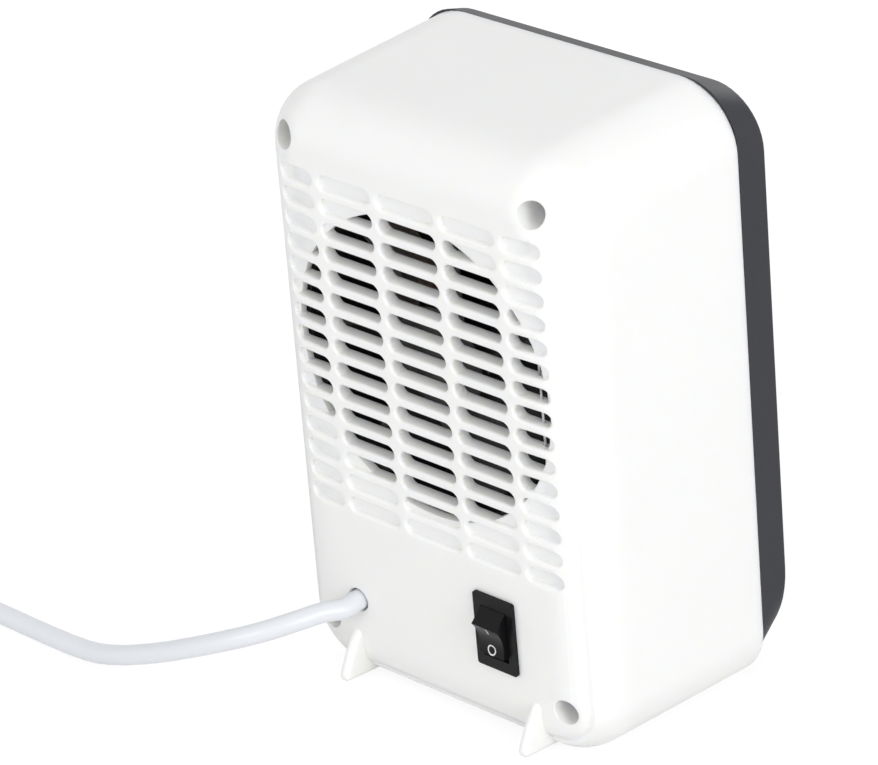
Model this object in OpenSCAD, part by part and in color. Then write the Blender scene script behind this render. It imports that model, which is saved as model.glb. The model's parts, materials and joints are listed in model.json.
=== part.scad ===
// Small upright ceramic fan heater, seen from its back in use: a white moulded
// shell with a slotted air inlet, a charcoal front bezel with an outlet grille,
// a rocker switch and a mains lead.
// The body is drawn upright, back face on y = 0, front towards -Y, and is then
// leaned back until its flat underside lies on z = 0.

/* [Shell] */
// Height of the back face at the back plane
body_h = 165; // [162:1:172]
// Width of the shell where it meets the bezel
body_w = 104; // [103:1:110]
// Depth of the white shell
shell_depth = 63.5; // [63:0.5:68]
// Backward lean of the whole body when it stands
lean = 5.15; // [4:0.05:6]
// Draft of each side wall
side_draft = 1.3; // [0.5:0.1:2]
// Slope of the top wall
top_draft = 1.5; // [0.5:0.1:2]
// Radius of the rounded edges round the back face
edge_r = 14.5; // [12:0.5:16]
// Radius of the corners seen from the back
corner_r = 17; // [15:0.5:20]
// Thickness of the back wall
back_wall = 3.2; // [2.8:0.1:3.6]
// Thickness of the other shell walls
wall = 2.4; // [2:0.1:2.8]

/* [Inlet grille] */
// Distance from one row to the next
slot_pitch = 6.47; // [6.2:0.01:6.6]
// Height of a slot
slot_h = 4.6; // [4:0.1:4.8]
// Length of the slots in the middle column
slot_mid_w = 19.2; // [18:0.1:20]
// Length of the slots in the two columns beside it
slot_side_w = 17.8; // [17:0.1:18.5]
// Space between the slot field and the shell's widest side
field_inset = 9.6; // [9:0.1:10.5]
// Width of the ribs between the columns
rib_w = 1.6; // [1.4:0.1:2]
// Depth of the blind slots
slot_depth = 1.8; // [1.4:0.1:2]
// Height of the lower edge of the slot field
field_low = 49.875; // [48:0.025:52]
// Space between the slot field and the top of the back face
field_drop = 18.07; // [17:0.01:19]
// How much wider the round opening is than the duct behind it
inlet_step = 0.7; // [0.5:0.1:1]
// Height of the fan's axis above the middle of the slot field
fan_lift = 1.3; // [0:0.1:2]

/* [Case screws] */
// Distance of the case screws from the shell's widest side
screw_inset = 11.8; // [11.5:0.1:13]
// Distance of the upper case screws from the top of the back face
screw_drop = 12; // [11.5:0.1:13]
// Height of the lower case screws
screw_low_z = 15.5; // [15:0.1:17]
// Radius of the deep screw recesses
recess_r = 3.5; // [3.5:0.05:4]
// How far the screw recesses end behind the seam
recess_rest = 16.5; // [15.5:0.5:18]
// Thickness of the wall of a screw recess
recess_wall = 1.6; // [1.4:0.1:1.8]
// Thread radius of the case screws
screw_r = 1.45; // [1.3:0.05:1.6]
// Length of a case screw under its head
screw_len = 15; // [12:0.5:17]

/* [Rear feet] */
// Distance of the two fins from the shell's widest side
fin_inset = 21.3; // [20:0.1:23]
// Thickness of a fin
fin_t = 3; // [2.6:0.1:3.4]
// How far a fin stands out behind the back face
fin_reach = 7; // [6:0.1:8]
// Height at which a fin starts on the back face
fin_h = 16; // [14:0.5:18]
// Gap between the fins and the table
fin_rest = 2.2; // [1.6:0.2:2.4]

/* [Front bezel] */
// Depth of the bezel in front of the shell
bezel_depth = 8.5; // [8:0.1:10]
// How far the bezel flares out past the shell on each side
bezel_flare = 2; // [1.5:0.1:4]
// How far the bezel's front top edge lies below the top of the back face
bezel_drop = 5; // [4:0.5:7]
// Height of the bezel's lower edge at the front
bezel_low = 4.5; // [3:0.5:6]
// Wall thickness of the bezel
bezel_wall = 2.2; // [2:0.1:2.6]
// Width of the bezel's face on each side of the outlet window
window_side = 10; // [9:0.5:12]
// Height of the bezel's face above the outlet window
window_drop = 16; // [14:0.5:20]
// Height of the outlet window's lower edge
window_low = 24; // [22:0.5:28]

/* [Outlet grille] */
// Number of outlet louvres
louvre_count = 15; // [12:1:18]
// Thickness of a louvre
louvre_t = 1.6; // [1.4:0.1:2]
// Depth of the outlet grille
grille_depth = 5; // [4:0.5:5.5]
// Tilt of the louvres
louvre_tilt = 20; // [0:5:25]

/* [Fan and motor] */
// Gap between the fan's blade tips and the duct
tip_gap = 2; // [1.5:0.1:3]
// Number of fan blades
blade_count = 7; // [5:1:9]
// Pitch angle of the blades
blade_pitch = 45; // [38:1:52]
// Radius of the fan's hub
hub_r = 14; // [12:0.5:15]
// Space between the duct's bore and the shell's widest side
duct_side = 11.5; // [11:0.1:12.5]
// Radius of the motor can
can_r = 14; // [13.5:0.1:15]
// Length of the motor can
can_len = 15.5; // [15:0.1:16]
// Radius of the motor shaft
shaft_r = 1; // [0.9:0.05:1.2]
// Running gap round the shaft
shaft_gap = 0.03; // [0.02:0.01:0.06]

/* [Heating element] */
// Space between the element's frame, inside, and the shell's widest side
frame_side = 12.5; // [12:0.1:14]
// Room for an end block beside the heating element
block_room = 3.5; // [3:0.1:4.5]
// Height of the heating element
core_h = 65.2; // [62:0.1:65.4]
// Depth of the heating element
core_d = 11.5; // [10:0.5:11.5]
// Number of ceramic bars
bar_count = 3; // [2:1:3]
// Thickness of a ceramic bar
stone_t = 2.4; // [2:0.1:3]
// Thickness of an electrode strip
strip_t = 0.5; // [0.4:0.1:0.6]
// Number of ceramic stones in a bar
stone_count = 6; // [4:1:7]

/* [Switch] */
// Sideways place of the switch
switch_x = -19.3; // [-21:0.1:-18]
// Height of the middle of the switch
switch_z = 31.7; // [31:0.1:34]
// Width of the switch bezel
switch_w = 13.1; // [12.9:0.1:13.3]
// Height of the switch bezel
switch_h = 21; // [20.8:0.1:21.2]
// Thickness of the switch bezel
switch_rim = 1; // [0.9:0.1:1.2]
// Tilt of the rocker to each side of its middle
rocker_tilt = 13; // [11:0.5:13]
// Radius swept by the rocker's ends
rocker_r = 7.15; // [7.1:0.05:7.2]

/* [Mains lead] */
// Diameter of the lead
cord_d = 5.4; // [5.2:0.1:5.6]
// Sideways place of the lead's hole
cord_x = 29.3; // [28:0.1:30]
// Height of the lead's hole
cord_z = 24.2; // [23.5:0.1:25]
// Turns of the coil's lower layer
coil_turns = 3; // [2:1:3]
// Inner radius of the coil at the middle of the lead
coil_in_r = 22.5; // [22:0.5:24]
// Gap between neighbouring turns
coil_gap = 0.5; // [0.45:0.05:0.7]
// Length of the plug's body
plug_len = 34; // [32:1:36]
// Length of the plug's strain relief
relief_len = 22; // [20:1:24]
// Radius of a plug pin
pin_r = 2.4; // [2.35:0.05:2.4]
// Length of a plug pin
pin_len = 19; // [18:0.5:19]

/* [Hidden] */
$fn = 64;
eps = 0.01;
fit = 0.2;          // gap between parts that are pushed together
touch = 0.05;       // gap round screws in their holes

// places along the depth, front is -Y
seam_y = -shell_depth;
front_y = seam_y - bezel_depth;
flange_t = 2.5;
frame_back_t = 2.5;
frame_front_y = seam_y + 0.5;
core_y = frame_front_y + 0.8;
motor_gap = 4.7;    // room between the element and the motor
can_front_y = core_y + core_d + motor_gap;
duct_front_y = can_front_y + can_len;
boss_end_y = duct_front_y + flange_t;   // front end of the duct bosses
fan_gap = 3;
fan_front_y = boss_end_y + fan_gap;
fan_back_y = -back_wall - 4.8;
recess_depth = shell_depth - recess_rest;

// places across the shell and up it
screw_x = body_w / 2 - screw_inset;
screw_top_z = body_h - screw_drop;
fin_x = body_w / 2 - fin_inset;
// an odd number of rows, so that the middle one crosses the fan's middle
slot_rows = 1 + 2 * floor(((body_h - field_drop - field_low) / slot_pitch - 1) / 2);
field_z = field_low + slot_rows * slot_pitch / 2;
slot_edge_w = body_w / 2 - field_inset - slot_mid_w / 2 - 2 * rib_w - slot_side_w;
fan_z = field_z + fan_lift;
duct_r = body_w / 2 - duct_side;
inlet_r = duct_r + inlet_step;
blade_tip_r = duct_r - tip_gap;
bezel_w = body_w + 2 * bezel_flare;
bezel_top = body_h - bezel_drop;
window_w = bezel_w - 2 * window_side;
window_h = bezel_top - window_drop - window_low;
window_z = window_low + window_h / 2;
frame_in_w = body_w - 2 * frame_side;
core_w = frame_in_w - 2 * block_room;
boss_side = 10.5;   // duct and frame screws, from the shell's widest side
boss_x = body_w / 2 - boss_side;
frame_in_h = core_h + 0.8;
frame_wall = 1.8;
boss_room = 5.7;    // from the outside of the element's frame to a screw
boss_dz = frame_in_h / 2 + frame_wall + boss_room;
boss_r = 4;
pilot_r = screw_r + touch;

// half widths and heights of the drafted shell
half_back = body_w / 2 - shell_depth * tan(side_draft);
seam_top = body_h - shell_depth * tan(top_draft);
seam_low = seam_y * tan(lean);

// the body stands with the middle of its floor box on the origin
back_reach = edge_r + sin(lean) * (body_h - edge_r * tan(top_draft) - edge_r / cos(top_draft))
    - edge_r * cos(lean);
front_reach = front_y * cos(lean) + bezel_low * sin(lean);
stand_y = -(back_reach + front_reach) / 2;

module place() {
    translate([0, stand_y, 0]) rotate([-lean, 0, 0]) children();
}
// a point of the upright body, where it stands
function stand(p) = [p[0], stand_y + p[1] * cos(lean) + p[2] * sin(lean),
    -p[1] * sin(lean) + p[2] * cos(lean)];

// a flat shape drawn in x and z, solid from y_front to y_back
module slab(y_front, y_back) {
    translate([0, y_back, 0]) rotate([90, 0, 0]) linear_extrude(y_back - y_front) children();
}
// a round bar along the depth
module bar_y(r, y_front, y_back, x = 0, z = 0) {
    translate([x, y_back, z]) rotate([90, 0, 0]) cylinder(r = r, h = y_back - y_front);
}
// a box centred across x and z, solid from y_front to y_back
module block_y(w, h, y_front, y_back, x = 0, z = 0) {
    translate([x - w / 2, y_front, z - h / 2]) cube([w, y_back - y_front, h]);
}
module round_rect(w, h, r) {
    square([w - 2 * r, h], center = true);
    square([w, h - 2 * r], center = true);
    for (sx = [-1, 1], sz = [-1, 1])
        translate([sx * (w / 2 - r), sz * (h / 2 - r)]) circle(r);
}
module at_corners(dx, dz) {
    for (sx = [-1, 1], sz = [-1, 1]) translate([sx * dx, 0, sz * dz]) children();
}

// Shell outline seen from above, x across and y along the depth
module plan_shape(inset, y_end) {
    r = edge_r - inset;
    cx = half_back + edge_r * tan(side_draft) - edge_r / cos(side_draft);
    tx = cx + r * cos(side_draft);
    ty = -edge_r + r * sin(side_draft);
    fx = half_back - inset / cos(side_draft) - y_end * tan(side_draft);
    polygon([[-fx, y_end], [fx, y_end], [tx, ty], [cx, r - edge_r], [-cx, r - edge_r], [-tx, ty]]);
    for (s = [-1, 1]) translate([s * cx, -edge_r]) circle(r);
}
// Shell outline seen from the side, x along the depth and y up
module side_shape(inset, y_end) {
    r = edge_r - inset;
    top_c = body_h - edge_r * tan(top_draft) - edge_r / cos(top_draft);
    low_c = edge_r / cos(lean) - edge_r * tan(lean);
    polygon([
        [y_end, body_h + y_end * tan(top_draft) - inset / cos(top_draft)],
        [-edge_r - r * sin(top_draft), top_c + r * cos(top_draft)],
        [r - edge_r, top_c], [r - edge_r, low_c],
        [-edge_r + r * sin(lean), low_c - r * cos(lean)],
        [y_end, y_end * tan(lean) + inset / cos(lean)]
    ]);
    translate([-edge_r, top_c]) circle(r);
    translate([-edge_r, low_c]) circle(r);
}
// Solid with the shell's outer form, or that form shrunk by inset
module shell_form(inset, y_end) {
    low = seam_low + inset;
    high = (body_h + seam_top) / 2 - inset;
    intersection() {
        translate([0, 0, -20]) linear_extrude(body_h + 40) plan_shape(inset, y_end);
        rotate([90, 0, 90]) translate([0, 0, -body_w])
            linear_extrude(2 * body_w) side_shape(inset, y_end);
        translate([0, 0, (low + high) / 2])
            slab(y_end - 1, 5) round_rect(body_w - 2 * inset, high - low, corner_r - inset);
    }
}

// The slot field
side_col = slot_mid_w / 2 + rib_w + slot_side_w / 2;
edge_col = slot_mid_w / 2 + 2 * rib_w + slot_side_w + slot_edge_w / 2;
module slot(w) {
    square([w - slot_h, slot_h], center = true);
    for (s = [-1, 1]) translate([s * (w - slot_h) / 2, 0]) circle(slot_h / 2, $fn = 24);
}
module slot_field() {
    for (row = [0 : slot_rows - 1])
        translate([0, field_z + (row - (slot_rows - 1) / 2) * slot_pitch]) {
            slot(slot_mid_w);
            for (s = [-1, 1]) {
                translate([s * side_col, 0]) slot(slot_side_w);
                translate([s * edge_col, 0]) slot(slot_edge_w);
            }
        }
}
field_top = field_z + slot_rows * slot_pitch / 2;

// Rear fin that keeps the heater from tipping backwards
fin_tip_r = 2.2;
module fin() {
    tip_y = fin_reach - fin_tip_r;
    tip_z = fin_rest + fin_tip_r / cos(lean) + tip_y * tan(lean);
    rotate([90, 0, 90]) translate([0, 0, -fin_t / 2]) linear_extrude(fin_t) {
        polygon([
            [-edge_r / 2, fin_h], [0, fin_h], [fin_reach * 0.72, fin_h * 0.55], [fin_reach, tip_z],
            [tip_y + fin_tip_r * sin(lean), tip_z - fin_tip_r * cos(lean)],
            [-edge_r, fin_rest - edge_r * tan(lean)], [-edge_r, fin_h]
        ]);
        translate([tip_y, tip_z]) circle(fin_tip_r);
    }
}

clamp_y = -11;        // middle of the lead clamp along the depth
clamp_w = 22;
clamp_depth = 8;
clamp_t = 3;
clamp_screw_dx = 6.6;
clamp_screw_len = 8;
seat_z = cord_z - cord_d / 2;
switch_tub_w = 12;
switch_tub_h = 19.2;

module rear_housing() color("#f4f3ef") {
    difference() {
        union() {
            difference() {
                shell_form(0, seam_y);
                difference() {
                    shell_form(wall, seam_y - 1);
                    slab(-back_wall, 1) square([3 * body_w, 3 * body_h], center = true);
                }
            }
            // deep recesses of the case screws
            for (sx = [-1, 1], z = [screw_low_z, screw_top_z])
                bar_y(recess_r + recess_wall, -recess_depth - 3, -back_wall + eps, sx * screw_x, z);
            // bosses that carry the fan duct
            translate([0, 0, fan_z]) at_corners(boss_x, boss_dz)
                bar_y(boss_r, boss_end_y, -back_wall + eps);
            // seat of the lead clamp
            intersection() {
                translate([cord_x - clamp_w / 2, clamp_y - clamp_depth / 2, 0])
                    cube([clamp_w, clamp_depth + 7, seat_z]);
                shell_form(wall / 2, seam_y);
            }
            for (s = [-1, 1]) translate([s * fin_x, 0, 0]) fin();
        }
        // slots: blind on the wall, open over the round inlet
        intersection() {
            slab(-back_wall - 1, 1) slot_field();
            union() {
                bar_y(inlet_r, -back_wall - 1, 1, 0, fan_z);
                difference() {
                    block_y(body_w, field_top * 2, -8, 1);
                    shell_form(slot_depth, seam_y);
                }
            }
        }
        for (sx = [-1, 1], z = [screw_low_z, screw_top_z]) {
            bar_y(recess_r, -recess_depth, 2, sx * screw_x, z);
            bar_y(screw_r + 0.45, -recess_depth - 4, 0, sx * screw_x, z);
        }
        translate([0, 0, fan_z]) at_corners(boss_x, boss_dz)
            bar_y(pilot_r, boss_end_y - 1, -back_wall - 6);
        bar_y(cord_d / 2 + 0.5, -back_wall - 8, 2, cord_x, cord_z);
        block_y(switch_tub_w + fit, switch_tub_h + fit, -back_wall - 2, 2, switch_x, switch_z);
        for (s = [-1, 1])
            translate([cord_x + s * clamp_screw_dx, clamp_y, seat_z - clamp_screw_len + cord_d])
                cylinder(r = 1.2 + touch, h = clamp_screw_len);
    }
}

// Bezel outline seen from above and from the side, drawn between two depths
lip_y = seam_y + 4;
module bezel_form(inset, y_end) {
    flare = (bezel_w - body_w) / 2 / bezel_depth;
    drop = (seam_top - bezel_top) / bezel_depth;
    rise = (bezel_low - seam_low) / bezel_depth;
    d = seam_y - y_end;
    half = body_w / 2 - inset;
    intersection() {
        translate([0, 0, -20]) linear_extrude(body_h + 40)
            polygon([
                [-half, seam_y], [half, seam_y], [half + d * flare, y_end], [-half - d * flare, y_end]
            ]);
        rotate([90, 0, 90]) translate([0, 0, -body_w]) linear_extrude(2 * body_w)
            polygon([[seam_y, seam_low + inset], [seam_y, seam_top - inset],
                [y_end, seam_top - inset - d * drop], [y_end, seam_low + inset + d * rise]]);
        translate([0, 0, (seam_low + seam_top) / 2]) slab(y_end - 1, seam_y + 1)
            round_rect(bezel_w - 2 * inset, seam_top - seam_low - 2 * inset, corner_r - inset);
    }
}
window_r = 8;
ledge = 2;
bezel_boss_r = 4.2;
lip_t = 1.6;

module lip_hole() {
    intersection() {
        shell_form(wall + fit + lip_t, seam_y - 4);
        slab(seam_y - bezel_wall - eps, 10) square([3 * body_w, 3 * body_h], center = true);
    }
}
module front_bezel() color("#424348") {
    difference() {
        union() {
            difference() {
                bezel_form(0, front_y);
                intersection() {
                    bezel_form(bezel_wall, front_y + bezel_wall);
                    slab(front_y, seam_y - bezel_wall) square([3 * body_w, 3 * body_h], center = true);
                }
                lip_hole();
            }
            // lip that enters the shell
            difference() {
                shell_form(wall + fit, seam_y - 1);
                lip_hole();
                slab(lip_y, 10) square([3 * body_w, 3 * body_h], center = true);
            }
            for (sx = [-1, 1], z = [screw_low_z, screw_top_z])
                bar_y(bezel_boss_r, front_y + eps, -recess_depth - 3, sx * screw_x, z);
        }
        translate([0, 0, window_z])
            slab(front_y - 1, front_y + bezel_wall + 1) round_rect(window_w, window_h, window_r);
        for (sx = [-1, 1], z = [screw_low_z, screw_top_z])
            bar_y(pilot_r, -recess_depth - 3 - screw_len, -recess_depth, sx * screw_x, z);
    }
}

// Louvred grille that clips into the window from inside
module outlet_grille() color("#3a3b40") {
    inner_w = window_w - 2 * ledge;
    inner_h = window_h - 2 * ledge;
    step = inner_h / louvre_count;
    rear = front_y + 0.6 + grille_depth;
    translate([0, 0, window_z]) {
        difference() {
            union() {
                slab(front_y + 0.6, rear) round_rect(window_w - fit, window_h - fit, window_r - fit / 2);
                slab(front_y + bezel_wall + 0.05, front_y + bezel_wall + 1.6)
                    round_rect(window_w + 3, window_h + 3, window_r + 1.5);
            }
            slab(front_y, rear + 1) round_rect(inner_w, inner_h, window_r - ledge);
        }
        intersection() {
            slab(front_y + 0.6, rear) round_rect(window_w - 1, window_h - 1, window_r - 0.5);
            union() {
                for (i = [1 : louvre_count - 1])
                    translate([0, (front_y + 0.6 + rear) / 2, i * step - inner_h / 2])
                        rotate([louvre_tilt, 0, 0])
                            cube([window_w, 2 * grille_depth, louvre_t], center = true);
                for (x = [-window_w / 4, 0, window_w / 4])
                    block_y(louvre_t, window_h, front_y + 1.6, rear, x);
            }
        }
    }
}

module case_screws() color("#b8bac0") {
    for (sx = [-1, 1], z = [screw_low_z, screw_top_z]) translate([sx * screw_x, 0, z]) {
        difference() {
            bar_y(3.3, -recess_depth, -recess_depth + 2.2);
            for (a = [0, 90]) rotate([0, a, 0]) block_y(0.7, 3.6, -recess_depth + 1, -recess_depth + 3);
        }
        bar_y(screw_r, -recess_depth - screw_len, -recess_depth + eps);
    }
}

// Fan duct: ring, screw flange and the spider that carries the motor
duct_wall = 2;
hub_seat_r = 16;
arm_w = 5;
motor_screw_r = 0.9;
motor_screw_dx = 8;
flange_w = 2 * boss_x + 2 * boss_r;
flange_h = 2 * boss_dz + 2 * boss_r;
flange_rim = 1.9;   // least width of the flange round the duct
module flange_shape() {
    round_rect(flange_w, flange_h, boss_r);
    circle(duct_r + duct_wall + flange_rim);
}
// the ring ends before it meets the shell's rounded edge
ring_over = duct_r + duct_wall + 0.5 - (half_back + edge_r * tan(side_draft) - edge_r / cos(side_draft));
ring_back_y = min(-back_wall - 1.6,
    sqrt(max(0, pow(edge_r - wall, 2) - pow(max(0, ring_over), 2))) - edge_r);
module fan_duct() color("#2b2c30") {
    translate([0, 0, fan_z]) {
        slab(duct_front_y, boss_end_y) difference() {
            union() {
                difference() {
                    flange_shape();
                    circle(duct_r);
                }
                circle(hub_seat_r);
                for (a = [45, 165, 285]) rotate(a)
                    translate([hub_seat_r - 3, -arm_w / 2]) square([duct_r + 4 - hub_seat_r, arm_w]);
            }
            circle(bush_r + 0.4);
            for (s = [-1, 1]) translate([s * motor_screw_dx, 0]) circle(motor_screw_r + touch + 0.4);
            for (sx = [-1, 1], sz = [-1, 1]) translate([sx * boss_x, sz * boss_dz]) circle(screw_r + 0.3);
        }
        difference() {
            bar_y(duct_r + duct_wall, boss_end_y - 0.5, ring_back_y);
            bar_y(duct_r, duct_front_y - 1, 0);
        }
    }
}

fan_blade_t = 1.4;
blade_len = 1.65 * (fan_back_y - fan_front_y);
module fan_impeller() color("#2b2c2f") {
    translate([0, 0, fan_z]) {
        difference() {
            bar_y(hub_r, fan_front_y, fan_back_y);
            bar_y(hub_r - 1.6, fan_front_y - 1, fan_back_y - 2);
        }
        difference() {
            bar_y(3.5, fan_front_y, fan_back_y - 1);
            bar_y(shaft_r, fan_front_y - 1, fan_back_y - 4);
        }
        for (a = [0 : 2]) rotate([0, 120 * a + 30, 0])
            block_y(1.2, hub_r - 4, fan_front_y + 8, fan_back_y - 1.5, 0, hub_r / 2 + 1);
        intersection() {
            difference() {
                bar_y(blade_tip_r, fan_front_y, fan_back_y);
                bar_y(hub_r - 1, fan_front_y - 1, fan_back_y + 1);
            }
            for (i = [0 : blade_count - 1]) rotate([0, i * 360 / blade_count, 0])
                translate([0, (fan_front_y + fan_back_y) / 2, hub_r - 1]) rotate([0, 0, blade_pitch])
                    translate([-fan_blade_t / 2, -blade_len / 2, 0])
                        cube([fan_blade_t, blade_len, blade_tip_r]);
        }
    }
}

can_back_y = duct_front_y;
can_t = 0.8;
bush_r = 3;
cap_t = 1.8;
module motor_can() color("#b9bcc2") {
    translate([0, 0, fan_z]) difference() {
        bar_y(can_r, can_front_y, can_back_y);
        bar_y(can_r - can_t, can_front_y - 1, can_back_y - can_t);
        bar_y(bush_r, can_back_y - 1, can_back_y + 1);
        for (s = [-1, 1])
            bar_y(motor_screw_r + touch, can_back_y - 1, can_back_y + 1, s * motor_screw_dx, 0);
    }
}
module motor_rear_bush() color("#c9a45c") {
    translate([0, 0, fan_z]) difference() {
        bar_y(bush_r, can_back_y - 3, can_back_y);
        bar_y(shaft_r + shaft_gap, can_back_y - 4, can_back_y + 1);
    }
}
module motor_front_bush() color("#c9a45c") {
    translate([0, 0, fan_z]) difference() {
        bar_y(2.4, can_front_y - 1.5, can_front_y + cap_t);
        bar_y(shaft_r + shaft_gap, can_front_y - 2, can_front_y + cap_t + 1);
    }
}
motor_tab_x = 9;
module motor_end_cap() color("#e8e6df") {
    translate([0, 0, fan_z]) {
        difference() {
            bar_y(can_r - can_t, can_front_y, can_front_y + cap_t);
            bar_y(2.4, can_front_y - 1, can_front_y + cap_t + 1);
            for (s = [-1, 1])
                block_y(0.6, 3, can_front_y - 1, can_front_y + cap_t + 1, s * motor_tab_x, 0);
        }
        for (s = [-1, 1]) block_y(0.6, 3, can_front_y - 2, can_front_y + cap_t, s * motor_tab_x, 0);
    }
}
magnet_t = 2.95;
magnet_len = 9;
magnet_r = can_r - can_t - touch - magnet_t;
module motor_magnets() color("#4a4a4e") {
    translate([0, can_back_y - can_t - 2, fan_z]) rotate([90, 0, 0])
        for (a = [-65, 115]) rotate([0, 0, a]) rotate_extrude(angle = 130)
            translate([magnet_r, 0]) square([magnet_t, magnet_len]);
}
rotor_back_y = can_back_y - 4.2;
rotor_len = 6;
module motor_rotor() color("#8d9096") {
    translate([0, 0, fan_z]) difference() {
        union() {
            bar_y(3.4, rotor_back_y - rotor_len, rotor_back_y);
            for (a = [0, 120, 240]) rotate([0, a, 0]) {
                block_y(2.4, 6.4, rotor_back_y - rotor_len, rotor_back_y, 0, 5.6);
                intersection() {
                    difference() {
                        bar_y(magnet_r - 0.6, rotor_back_y - rotor_len, rotor_back_y);
                        bar_y(magnet_r - 2.2, rotor_back_y - rotor_len - 1, rotor_back_y + 1);
                    }
                    block_y(13, 12, rotor_back_y - rotor_len - 1, rotor_back_y + 1, 0, 8);
                }
            }
        }
        bar_y(shaft_r, rotor_back_y - rotor_len - 1, rotor_back_y + 1);
    }
}
module rotor_windings() color("#b5622e") {
    translate([0, 0, fan_z]) for (a = [0, 120, 240]) rotate([0, a, 0]) difference() {
        block_y(5.4, 3.6, rotor_back_y - rotor_len - 1.2, rotor_back_y + 1.2, 0, 5.6);
        block_y(2.4 + touch, 5, rotor_back_y - rotor_len, rotor_back_y, 0, 5.6);
    }
}
module motor_commutator() color("#c07f3e") {
    translate([0, 0, fan_z]) difference() {
        bar_y(2.6, rotor_back_y - rotor_len - 3, rotor_back_y - rotor_len);
        bar_y(shaft_r, rotor_back_y - rotor_len - 4, rotor_back_y - rotor_len + 1);
        for (a = [0, 60, 120]) rotate([0, a, 0])
            difference() {
                block_y(0.4, 7, rotor_back_y - rotor_len - 4, rotor_back_y - rotor_len - 0.6);
                bar_y(2, -80, 0);
            }
    }
}
module motor_shaft() color("#c8cace") {
    translate([0, 0, fan_z]) bar_y(shaft_r, can_front_y - 1, fan_back_y - 4);
}
module motor_screws() color("#b8bac0") {
    for (s = [-1, 1]) translate([s * motor_screw_dx, 0, fan_z]) {
        bar_y(2.2, boss_end_y, boss_end_y + 1.4);
        bar_y(motor_screw_r, can_back_y - can_t - 0.8, boss_end_y + eps);
    }
}

// Deep plastic frame that holds the heating element in the air stream
frame_back_y = duct_front_y;
tab_w = 4;
function tab_y(s) = core_y + core_d / 2 + s * 3;
unit_h = core_h / bar_count;
fin_h_each = (unit_h - stone_t - 2 * strip_t) / 2;
function strip_z(bar, s) = fan_z - core_h / 2 + (bar + 0.5) * unit_h + s * (stone_t + strip_t) / 2;

lead_hole_y = can_front_y + 2;
module heater_frame() color("#e9e2d0") {
    difference() {
        union() {
            block_y(frame_in_w + 2 * frame_wall, frame_in_h + 2 * frame_wall,
                frame_front_y, frame_back_y, 0, fan_z);
            translate([0, 0, fan_z]) slab(frame_back_y - frame_back_t, frame_back_y)
                flange_shape();
        }
        block_y(frame_in_w, frame_in_h, frame_front_y - 1, frame_back_y + 1, 0, fan_z);
        translate([0, 0, fan_z]) at_corners(boss_x, boss_dz)
            bar_y(screw_r + 0.3, frame_back_y - frame_back_t - 1, frame_back_y + 1);
        // ways out for the electrode tabs, on the +X side
        for (bar = [0 : bar_count - 1], s = [-1, 1])
            block_y(10, strip_t + 0.6, tab_y(s) - tab_w / 2 - 0.3, tab_y(s) + tab_w / 2 + 0.3,
                frame_in_w / 2, strip_z(bar, s));
        // way in for the motor leads
        translate([0, lead_hole_y, fan_z - frame_in_h / 2 - 5]) cylinder(r = 3.8, h = 10);
    }
    // ribs in front of the element and behind it
    for (s = [-1, 1]) {
        block_y(frame_in_w + 1, 1.6, core_y + core_d + 0.2, core_y + core_d + 2.2,
            0, fan_z + s * (frame_in_h / 2 - 0.8));
        block_y(frame_in_w + 1, 1.6, frame_front_y, core_y - 0.1, 0, fan_z + s * (frame_in_h / 2 - 0.8));
    }
}
frame_head_r = 2.8;
frame_head_t = 2;
frame_screw_grip = 12;
module frame_screws() color("#b8bac0") {
    translate([0, 0, fan_z]) at_corners(boss_x, boss_dz) {
        bar_y(frame_head_r, frame_back_y - frame_back_t - frame_head_t, frame_back_y - frame_back_t);
        bar_y(screw_r, frame_back_y - frame_back_t - eps, boss_end_y + frame_screw_grip);
    }
}
block_w = (frame_in_w - core_w) / 2 - 2 * touch;
module element_end_blocks() color("#c96a4a") {
    for (s = [-1, 1]) difference() {
        block_y(block_w, core_h, core_y, core_y + core_d, s * (core_w + block_w + 2 * touch) / 2, fan_z);
        if (s == 1) for (bar = [0 : bar_count - 1], k = [-1, 1])
            block_y(40, strip_t + 0.4, tab_y(k) - tab_w / 2 - 0.2, tab_y(k) + tab_w / 2 + 0.2,
                core_w / 2, strip_z(bar, k));
    }
}
// Corrugated aluminium strip between two rails
wave_pitch = 4;
rail_t = 0.4;
foil_t = 0.3;
module fin_row() {
    count = floor((core_w - 1) / wave_pitch);
    start = -count * wave_pitch / 2;
    lo = -fin_h_each / 2 + rail_t / 2;
    hi = -lo;
    rise = foil_t * sqrt(1 + pow(2 * (hi - lo) / wave_pitch, 2));
    up = [for (i = [0 : 2 * count]) [start + i * wave_pitch / 2, i % 2 == 0 ? lo + rise : hi]];
    down = [for (i = [2 * count : -1 : 0]) [start + i * wave_pitch / 2, i % 2 == 0 ? lo : hi - rise]];
    polygon(concat(up, down));
    for (s = [-1, 1]) translate([0, s * (fin_h_each - rail_t) / 2])
        square([core_w, rail_t], center = true);
}
module element_fins() color("#c9ccd0") {
    for (bar = [0 : bar_count - 1], s = [-1, 1])
        translate([0, 0, fan_z - core_h / 2 + (bar + 0.5) * unit_h
                + s * (stone_t / 2 + strip_t + fin_h_each / 2)])
            slab(core_y, core_y + core_d) fin_row();
}
module element_stones() color("#5b5650") {
    pitch = core_w / stone_count;
    for (bar = [0 : bar_count - 1], i = [0 : stone_count - 1])
        block_y(pitch - 0.4, stone_t, core_y + 0.5, core_y + core_d - 0.5,
            (i + 0.5) * pitch - core_w / 2, fan_z - core_h / 2 + (bar + 0.5) * unit_h);
}
tab_end_x = frame_in_w / 2 + 5;
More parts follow.
